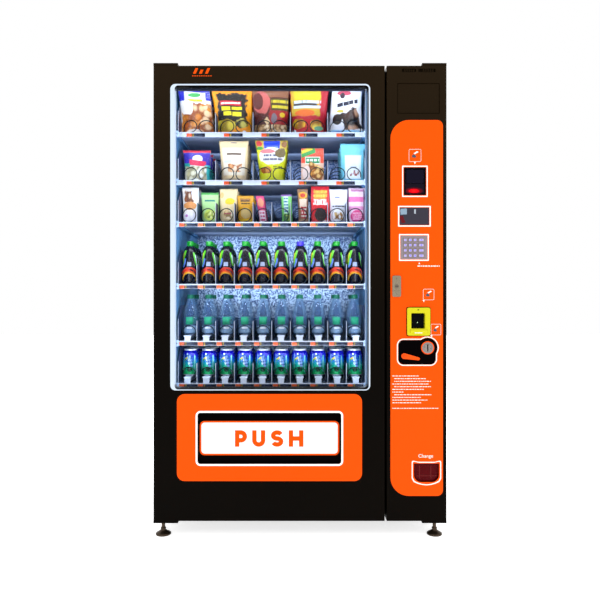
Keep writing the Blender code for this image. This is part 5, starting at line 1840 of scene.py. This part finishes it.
# Radius and height pairs, from the bottom up. The dark cone in the front bottle's neck is painted shade for the dark
# seen through the water, and the pale drum in its bottom is painted light seen through it.
WATER_PAINTED_SHADE = ((0.0, 0.081), (0.0160, 0.082), (0.0158, 0.096), (0.0110, 0.120), (0.0050, 0.144), (0.0, 0.150))
WATER_PAINTED_LIGHT = ((0.0, 0.006), (0.0260, 0.007), (0.0296, 0.014), (0.0296, 0.038), (0.0, 0.043))
CAN_HEIGHT, CAN_RADIUS = 0.117, 0.0362
CAN_PROFILE = (
    (0.0, 0.004), (0.0240, 0.002), (0.0262, 0.0), (0.0300, 0.001), (0.0338, 0.003), (CAN_RADIUS, 0.0075),
    (CAN_RADIUS, 0.095), (0.0342, 0.101), (0.0300, 0.109), (0.0290, 0.112), (0.0300, 0.1145),
    (0.0302, CAN_HEIGHT), (0.0290, CAN_HEIGHT), (0.0280, 0.1135),
)
CAN_LID = ((0.0, 0.1125), (0.0264, 0.1125), (0.0275, 0.1138), (0.0, 0.1141))


def turned_stock(shape, profile, ys, segments=36):
    """The same turned profile at each of a lane's places."""
    shape.smooth = True
    for y in ys:
        shape.turned(profile, (0.0, y, 0.0), segments)


def item_rows(tray):
    """How far back each bottle or can of a lane stands."""
    pitch = (SPIRAL_Y[1] - SPIRAL_Y[0]) / 7
    first = SPIRAL_Y[0] + pitch + (CAN_SETBACK if tray == CAN_TRAY else 0.0)
    return [first + i * pitch for i in range(ITEMS_PER_LANE)]


def make_juice_bottles():
    """Dark juice bottles in shrink sleeves; the cap and sleeve of one lane are blue."""
    labels = {
        "green": grape_label("juice_sleeve", srgb(24, 170, 50)),
        "blue": grape_label("juice_sleeve_blue_cap", srgb(60, 44, 190)),
    }
    caps = {
        "green": finish("cap_green", srgb(8, 140, 28), 0.34, 0.06, 600.0, 0.06),
        "blue": finish("cap_blue", srgb(58, 40, 190), 0.34, 0.06, 600.0, 0.06),
    }
    blue_lane = 6
    turn = random.Random(8)
    ys = item_rows(JUICE_TRAY)
    for lane in range(LANE_COUNTS[JUICE_TRAY]):
        colour = "blue" if lane == blue_lane else "green"
        x = lane_centre(JUICE_TRAY, lane) + turn.uniform(-0.002, 0.003)
        shape = Shape()
        turned_stock(shape, grape_profile(), ys)
        shape.material = 1
        for y in ys:
            shape.turned(cap_profile(0.0160, 0.1780, 0.0170), (0.0, y, 0.0), 48, 0.03)
        here = Matrix.Translation((x, 0, floor_z(JUICE_TRAY) + ITEM_LIFT))
        place(f"juice_bottles_{lane + 1}", shape, [labels[colour], caps[colour]], "cabinet", at=here)


def water_profile():
    points = [(0.0, 0.005), (0.020, 0.0), (0.0280, 0.002), (0.0312, 0.008), (0.0322, 0.016)]
    for i in range(3):
        low = 0.020 + i * 0.008
        points += [(0.0322, low), (0.0310, low + 0.004)]
    points += [(0.0322, 0.045), (0.0322, 0.082), (0.0310, 0.085), (0.0322, 0.088), (0.0300, 0.104), (0.0232, 0.128)]
    points += [(0.0170, 0.148), (0.0138, 0.157), (0.0130, 0.163)]
    return tuple(points)


def make_water_bottles():
    """Clear bottles on a riser: shell, dark core of painted shade, pale base of painted light, wrap label, green cap
    and a painted highlight.
    """
    shell = glass("water_shell", srgb(120, 164, 214), 0.15, 0.08, specular=0.5)
    label = glass("water_label", srgb(44, 152, 116), 0.85, 0.3, specular=0.1)
    cap = finish("cap_teal", srgb(4, 92, 68), 0.36, 0.06, 600.0, 0.06)
    shine = finish("water_highlight", srgb(220, 230, 244), 0.3, 0.03, 200.0, 0.02)
    core = glass("water_painted_shade", srgb(16, 34, 78), 0.90, 0.2, specular=0.1)
    base = glass("water_painted_light", srgb(170, 204, 236), 0.66, 0.2, specular=0.1)
    ys = item_rows(WATER_TRAY)
    z = floor_z(WATER_TRAY) + RISER_HEIGHTS[WATER_TRAY]
    for lane in range(LANE_COUNTS[WATER_TRAY]):
        shape = Shape()
        turned_stock(shape, water_profile(), ys, 32)
        shape.material = 1
        for y in ys:
            wrap(shape, y, 0.0325, 0.0460, 0.0790, 30)
        shape.material = 2
        for y in ys:
            shape.turned(cap_profile(0.0160, 0.1600, 0.0185), (0.0, y, 0.0), 48, 0.03)
        # Painted shade and painted light, in the front bottle only: a dark cone in the neck and a pale drum at the
        # bottom.
        shape.material = 4
        turned_stock(shape, WATER_PAINTED_SHADE, ys[:1], 20)
        shape.material = 5
        turned_stock(shape, WATER_PAINTED_LIGHT, ys[:1], 24)
        shape.material = 3
        for y in ys:
            shape.slab((-0.0125, 0.0270, 0.0135, 0.0345), 0.0036, y - 0.0330, y - 0.0324, 4)
        materials = [shell, label, cap, shine, core, base]
        here = Matrix.Translation((lane_centre(WATER_TRAY, lane), 0, z))
        place(f"water_bottles_{lane + 1}", shape, materials, "cabinet", at=here)


def wrap(shape, y, radius, low, high, half_angle, steps=8):
    """A label bent round the front of a bottle, half_angle degrees to each side."""
    rows = []
    for depth, z in ((0.0, low), (0.0, high), (0.0004, high), (0.0004, low)):
        angles = [math.radians(-90 + half_angle * (2 * i / steps - 1)) for i in range(steps + 1)]
        r = radius - depth
        rows.append([shape.bm.verts.new((r * math.cos(a), y + r * math.sin(a), z)) for a in angles])
    for row, following in zip(rows, rows[1:] + rows[:1]):
        for i in range(steps):
            shape.face((row[i], row[i + 1], following[i + 1], following[i]))
    shape.face([row[0] for row in rows])
    shape.face([row[-1] for row in rows][::-1])


def make_cans():
    """Printed cans on a riser, with metal lids and pull tabs."""
    label = can_label("can_print")
    lid = finish("can_lid", srgb(200, 206, 214), 0.25, 0.05, 60.0, 0.06, metallic=0.9)
    z = floor_z(CAN_TRAY) + RISER_HEIGHTS[CAN_TRAY]
    for lane in range(LANE_COUNTS[CAN_TRAY]):
        shape = Shape()
        shape.smooth = True
        for y in item_rows(CAN_TRAY):
            shape.material = 0
            shape.turned(CAN_PROFILE, (0.0, y, 0.0), 40)
            shape.material = 1
            shape.turned(CAN_LID, (0.0, y, 0.0), 32)
            shape.slab((-0.006, 0.1144, 0.006, 0.1156), 0.0005, y - 0.014, y + 0.006, 2)
        here = Matrix.Translation((lane_centre(CAN_TRAY, lane), 0, z))
        place(f"cans_{lane + 1}", shape, [label, lid], "cabinet", at=here)


def make_risers():
    """The white tracks that hold bottles and cans above the spirals' bottoms, with a foot in front of each spiral."""
    white = finish("riser_plastic", srgb(190, 202, 224), 0.36, 0.03, 700.0, 0.06)
    for tray, height in RISER_HEIGHTS.items():
        shape = Shape()
        for lane in range(LANE_COUNTS[tray]):
            x, z = lane_centre(tray, lane), floor_z(tray)
            stem, flare, lip = 0.0130, 0.0165, 0.0035
            top = z + height - 0.0003
            track = [
                (x - stem, z + 0.0125), (x + stem, z + 0.0125), (x + stem, top - lip - 0.004), (x + flare, top - lip),
                (x + flare, top), (x - flare, top), (x - flare, top - lip), (x - stem, top - lip - 0.004),
            ]
            shape.prism(track, -0.2205, 0.255)
            foot = [(x - stem, z + 0.0004), (x + stem, z + 0.0004), *track[2:]]
            shape.prism(foot, -0.2268, -0.2222)
        place(f"tray_{tray + 1}_risers", shape, white, "cabinet", 0.0008)


# ---------------------------------------------------------------- back, sides and bay


def louvres(shape, box, y, count, tilt=0.006):
    """Pressed ventilation slats across a box on the back panel."""
    x0, z0, x1, z1 = box
    step = (z1 - z0) / count
    for i in range(count):
        z = z0 + (i + 0.5) * step
        section = [
            (y, z - step * 0.34), (y + tilt, z - step * 0.20), (y + tilt, z - step * 0.08), (y, z + step * 0.34),
        ]
        left = [shape.bm.verts.new((x0, py, pz)) for py, pz in section]
        right = [shape.bm.verts.new((x1, py, pz)) for py, pz in section]
        shape.face(left[::-1])
        shape.face(right)
        for k in range(4):
            m = (k + 1) % 4
            shape.face((left[k], left[m], right[m], right[k]))


def make_back():
    """The rear grille, the panel seams and their screws, and the power inlet."""
    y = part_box("cabinet_back")[1].y
    sheet = CAD_FINISHES["galvanised_sheet"]
    dark = finish("back_black", srgb(30, 28, 27), 0.5, 0.1, 700.0, 0.15)
    screw = finish("back_screw", srgb(150, 152, 156), 0.3, 0.1, 600.0, 0.1, metallic=0.9)
    grille = Shape()
    louvres(grille, (-0.46, 0.16, 0.22, 0.50), y - 0.0005, 16)
    outer, inner = rounded((-0.50, 0.13, 0.26, 0.53), 0.01), rounded((-0.475, 0.150, 0.235, 0.510), 0.006)
    grille.frame(outer, inner, y - 0.0005, y + 0.0025)
    place("rear_grille", grille, sheet, "cabinet", 0.0006)
    seams = Shape()
    for x0, z0, x1, z1 in ((-0.565, 0.570, 0.300, 1.845), (0.335, 0.150, 0.565, 1.845)):
        panel = (x0, z0, x1, z1)
        seams.frame(rounded(panel, 0.006), rounded(grown(panel, -0.012), 0.004), y - 0.0005, y + 0.0016)
    for z in (0.86, 1.20, 1.54):
        seams.slab((-0.520, z - 0.004, 0.255, z + 0.004), 0.003, y - 0.0005, y + 0.0020)
    place("rear_panel_folds", seams, sheet, "cabinet", 0.0006)
    screws = Shape()
    for x in (-0.583, 0.583):
        for i in range(9):
            z = 0.17 + i * 0.205
            screws.pin(x, z, y - 0.001, y + 0.0024, 0.0045, 12)
            screws.frame(circle(x, z, 0.0080, 16), circle(x, z, 0.0044, 16), y - 0.0003, y + 0.0008)
    for x in (-0.55, -0.28, 0.0, 0.28, 0.55):
        screws.pin(x, 0.128, y - 0.001, y + 0.0024, 0.0045, 12)
    place("rear_screws", screws, screw, "cabinet", 0.0004)
    inlet = Shape()
    box = (0.400, 0.190, 0.470, 0.250)
    inlet.frame(rounded(box, 0.004), rounded(grown(box, -0.013), 0.006), y - 0.0005, y + 0.0040)
    inlet.slab(grown(box, -0.012), 0.006, y - 0.0004, y + 0.0006)
    for dx, dz in ((-0.009, -0.004), (0.009, -0.004), (0.0, 0.006)):
        x, z = 0.435 + dx, 0.220 + dz
        inlet.prism(corners((x - 0.001, z - 0.003, x + 0.001, z + 0.003)), y + 0.0004, y + 0.0030)
    place("power_inlet", inlet, dark, "cabinet", 0.0005)


def make_sides():
    """The folded seam, the rivets and the shallow stiffening panel of each side, and the roof's folds and screws."""
    paint = CAD_FINISHES["black_paint"]
    screw = finish("side_screw", srgb(40, 38, 36), 0.35, 0.1, 600.0, 0.1, metallic=0.6)
    for side, x, out in (("left", -0.600, -1), ("right", 0.600, 1)):
        shape = Shape()
        for y0, z0, y1, z1 in ((-0.262, 0.200, 0.345, 0.985), (-0.262, 1.015, 0.345, 1.800)):
            flat = [rounded((y0, z0, y1, z1), 0.012), rounded(grown((y0, z0, y1, z1), -0.005), 0.009)]
            loops = []
            for outline, depth in ((flat[0], -0.0004), (flat[0], 0.0004), (flat[1], 0.0012), (flat[1], -0.0004)):
                loops.append([shape.bm.verts.new((x + out * depth, py, pz)) for py, pz in outline])
            count = len(flat[0])
            for ring, following in zip(loops, loops[1:] + loops[:1]):
                for i in range(count):
                    j = (i + 1) % count
                    shape.face((ring[i], ring[j], following[j], following[i]))
        place(f"{side}_side_folds", shape, paint, "cabinet")
        rivets = Shape()
        for y in (-0.300, 0.378):
            for i in range(8):
                z = 0.175 + i * 0.235
                rivets.tube([(x - out * 0.001, y, z), (x + out * 0.0016, y, z)], 0.0042, 12)
        place(f"{side}_side_rivets", rivets, screw, "cabinet", 0.0006)
    roof = Shape()
    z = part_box("cabinet_top")[1].z
    for x0, y0, x1, y1 in ((-0.560, -0.240, 0.330, 0.372), (0.352, -0.240, 0.560, 0.372)):
        roof.box((x0, y0, z - 0.0005), (x1, y1, z + 0.0022))
    for x in (-0.582, -0.29, 0.0, 0.29, 0.582):
        roof.tube([(x, 0.386, z - 0.001), (x, 0.386, z + 0.0022)], 0.0045, 12)
    place("roof_panels", roof, paint, "cabinet", 0.0015)


def make_bay():
    """What the payment door covers: the controller board, power supply, cash box and their looms."""
    grey = finish("bay_grey", srgb(150, 154, 160), 0.45, 0.08, 400.0, 0.08, metallic=0.5)
    board = finish("board_green", srgb(24, 92, 60), 0.4, 0.12, 200.0, 0.1)
    chip = finish("chip_black", srgb(20, 20, 22), 0.45, 0.1)
    red = finish("loom_red", srgb(170, 30, 30), 0.45, 0.08)
    back = 0.3435
    shape = Shape()
    shape.slab((0.365, 1.330, 0.555, 1.600), 0.004, back - 0.004, back - 0.0005)
    place("controller_plate", shape, grey, "cabinet", 0.0006)
    shape = Shape()
    shape.slab((0.375, 1.345, 0.545, 1.585), 0.003, back - 0.0125, back - 0.0105)
    shape.material = 1
    rng = random.Random(3)
    for column in range(4):
        for row in range(6):
            x, z = 0.392 + column * 0.042, 1.362 + row * 0.038
            w, h = rng.uniform(0.006, 0.014), rng.uniform(0.005, 0.013)
            front = back - 0.0125 - rng.uniform(0.003, 0.010)
            shape.slab((x - w, z - h, x + w, z + h), 0.001, front, back - 0.0120, 2)
    place("controller_board", shape, [board, chip], "cabinet", 0.0004)
    shape = Shape()
    shape.slab((0.365, 1.090, 0.545, 1.270), 0.004, back - 0.055, back - 0.0005)
    louvres(shape, (0.380, 1.110, 0.530, 1.250), back - 0.0553, 9, -0.003)
    place("power_supply", shape, grey, "cabinet", 0.0008)
    shape = Shape()
    shape.slab((0.372, 0.135, 0.548, 0.205), 0.006, -0.190, 0.050)
    shape.slab((0.440, 0.160, 0.480, 0.175), 0.004, -0.196, -0.1895)
    place("cash_box", shape, grey, "cabinet", 0.0012)
    shape = Shape()
    shape.smooth = True
    for i, x in enumerate((0.405, 0.412, 0.419)):
        path = [
            (x, back - 0.016, 1.345), (x, back - 0.022, 1.325),
            (x + 0.004 * i, back - 0.030, 1.300), (x + 0.006 * i, back - 0.035, 1.268),
        ]
        shape.tube(path, 0.0022, 8)
    place("controller_loom", shape, red, "cabinet")


def make_cooling_details():
    """Condenser fins on the front of the cooling unit, below the delivery bin."""
    low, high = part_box("cooling_unit")
    fins = finish("condenser_fins", srgb(160, 166, 174), 0.4, 0.08, 300.0, 0.08, metallic=0.7)
    shape = Shape()
    for i in range(60):
        x = low.x + 0.05 + i * (high.x - low.x - 0.10) / 59
        shape.box((x - 0.0008, low.y - 0.0052, low.z + 0.012), (x + 0.0008, low.y - 0.0003, low.z + 0.135))
    place("condenser_fins", shape, fins, "cabinet")


# The cone and the nut of a foot: radius and height pairs, from the floor up.
FOOT_PROFILE = (
    (0.0, 0.0), (0.0305, 0.0), (0.0318, 0.002), (0.0316, 0.0055), (0.0285, 0.0085), (0.0180, 0.0140),
    (0.0115, 0.0190), (0.0098, 0.0225), (0.0112, 0.0245), (0.0112, 0.0285), (0.0074, 0.0300),
)


def make_feet():
    """Each foot's threaded stem, its nut and the cone it stands on, in place of the plain CAD foot."""
    metal = finish("foot_metal", srgb(70, 58, 46), 0.30, 0.18, 500.0, 0.08, 0.0002, metallic=0.8)
    for end in ("front", "rear"):
        for side in ("left", "right"):
            name = f"{end}_{side}_foot"
            low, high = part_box(name)
            x, y, top = (low.x + high.x) / 2, (low.y + high.y) / 2, high.z
            profile = list(FOOT_PROFILE)
            z = 0.0315
            while z < top - 0.002:
                profile += [(0.0074, z), (0.0066, z + 0.00065)]
                z += 0.0013
            profile += [(0.0068, top - 0.0008), (0.0, top)]
            shape = Shape()
            shape.smooth = True
            shape.turned(profile, (x, y, 0.0), 28)
            place(name + "_screw", shape, metal, name, replaces=[name])


def make_everything():
    make_camera()
    make_stage()
    make_chamber_lights()
    finish_cad()
    make_liners()
    make_door_lamps()
    make_gasket()
    make_spirals()
    make_motors()
    make_rails()
    make_push_plate()
    make_door_graphics()
    make_window_trim()
    make_window_retainer()
    white = make_fascia_outlines()
    make_fascia_print(white)
    make_door_vents()
    make_scanner()
    make_key_labels()
    make_lock_details()
    make_bill_details()
    make_coin_details()
    make_lever_details()
    make_change_flap_ribs()
    make_snacks()
    make_juice_bottles()
    make_water_bottles()
    make_cans()
    make_risers()
    make_back()
    make_sides()
    make_bay()
    make_cooling_details()
    make_feet()


make_everything()
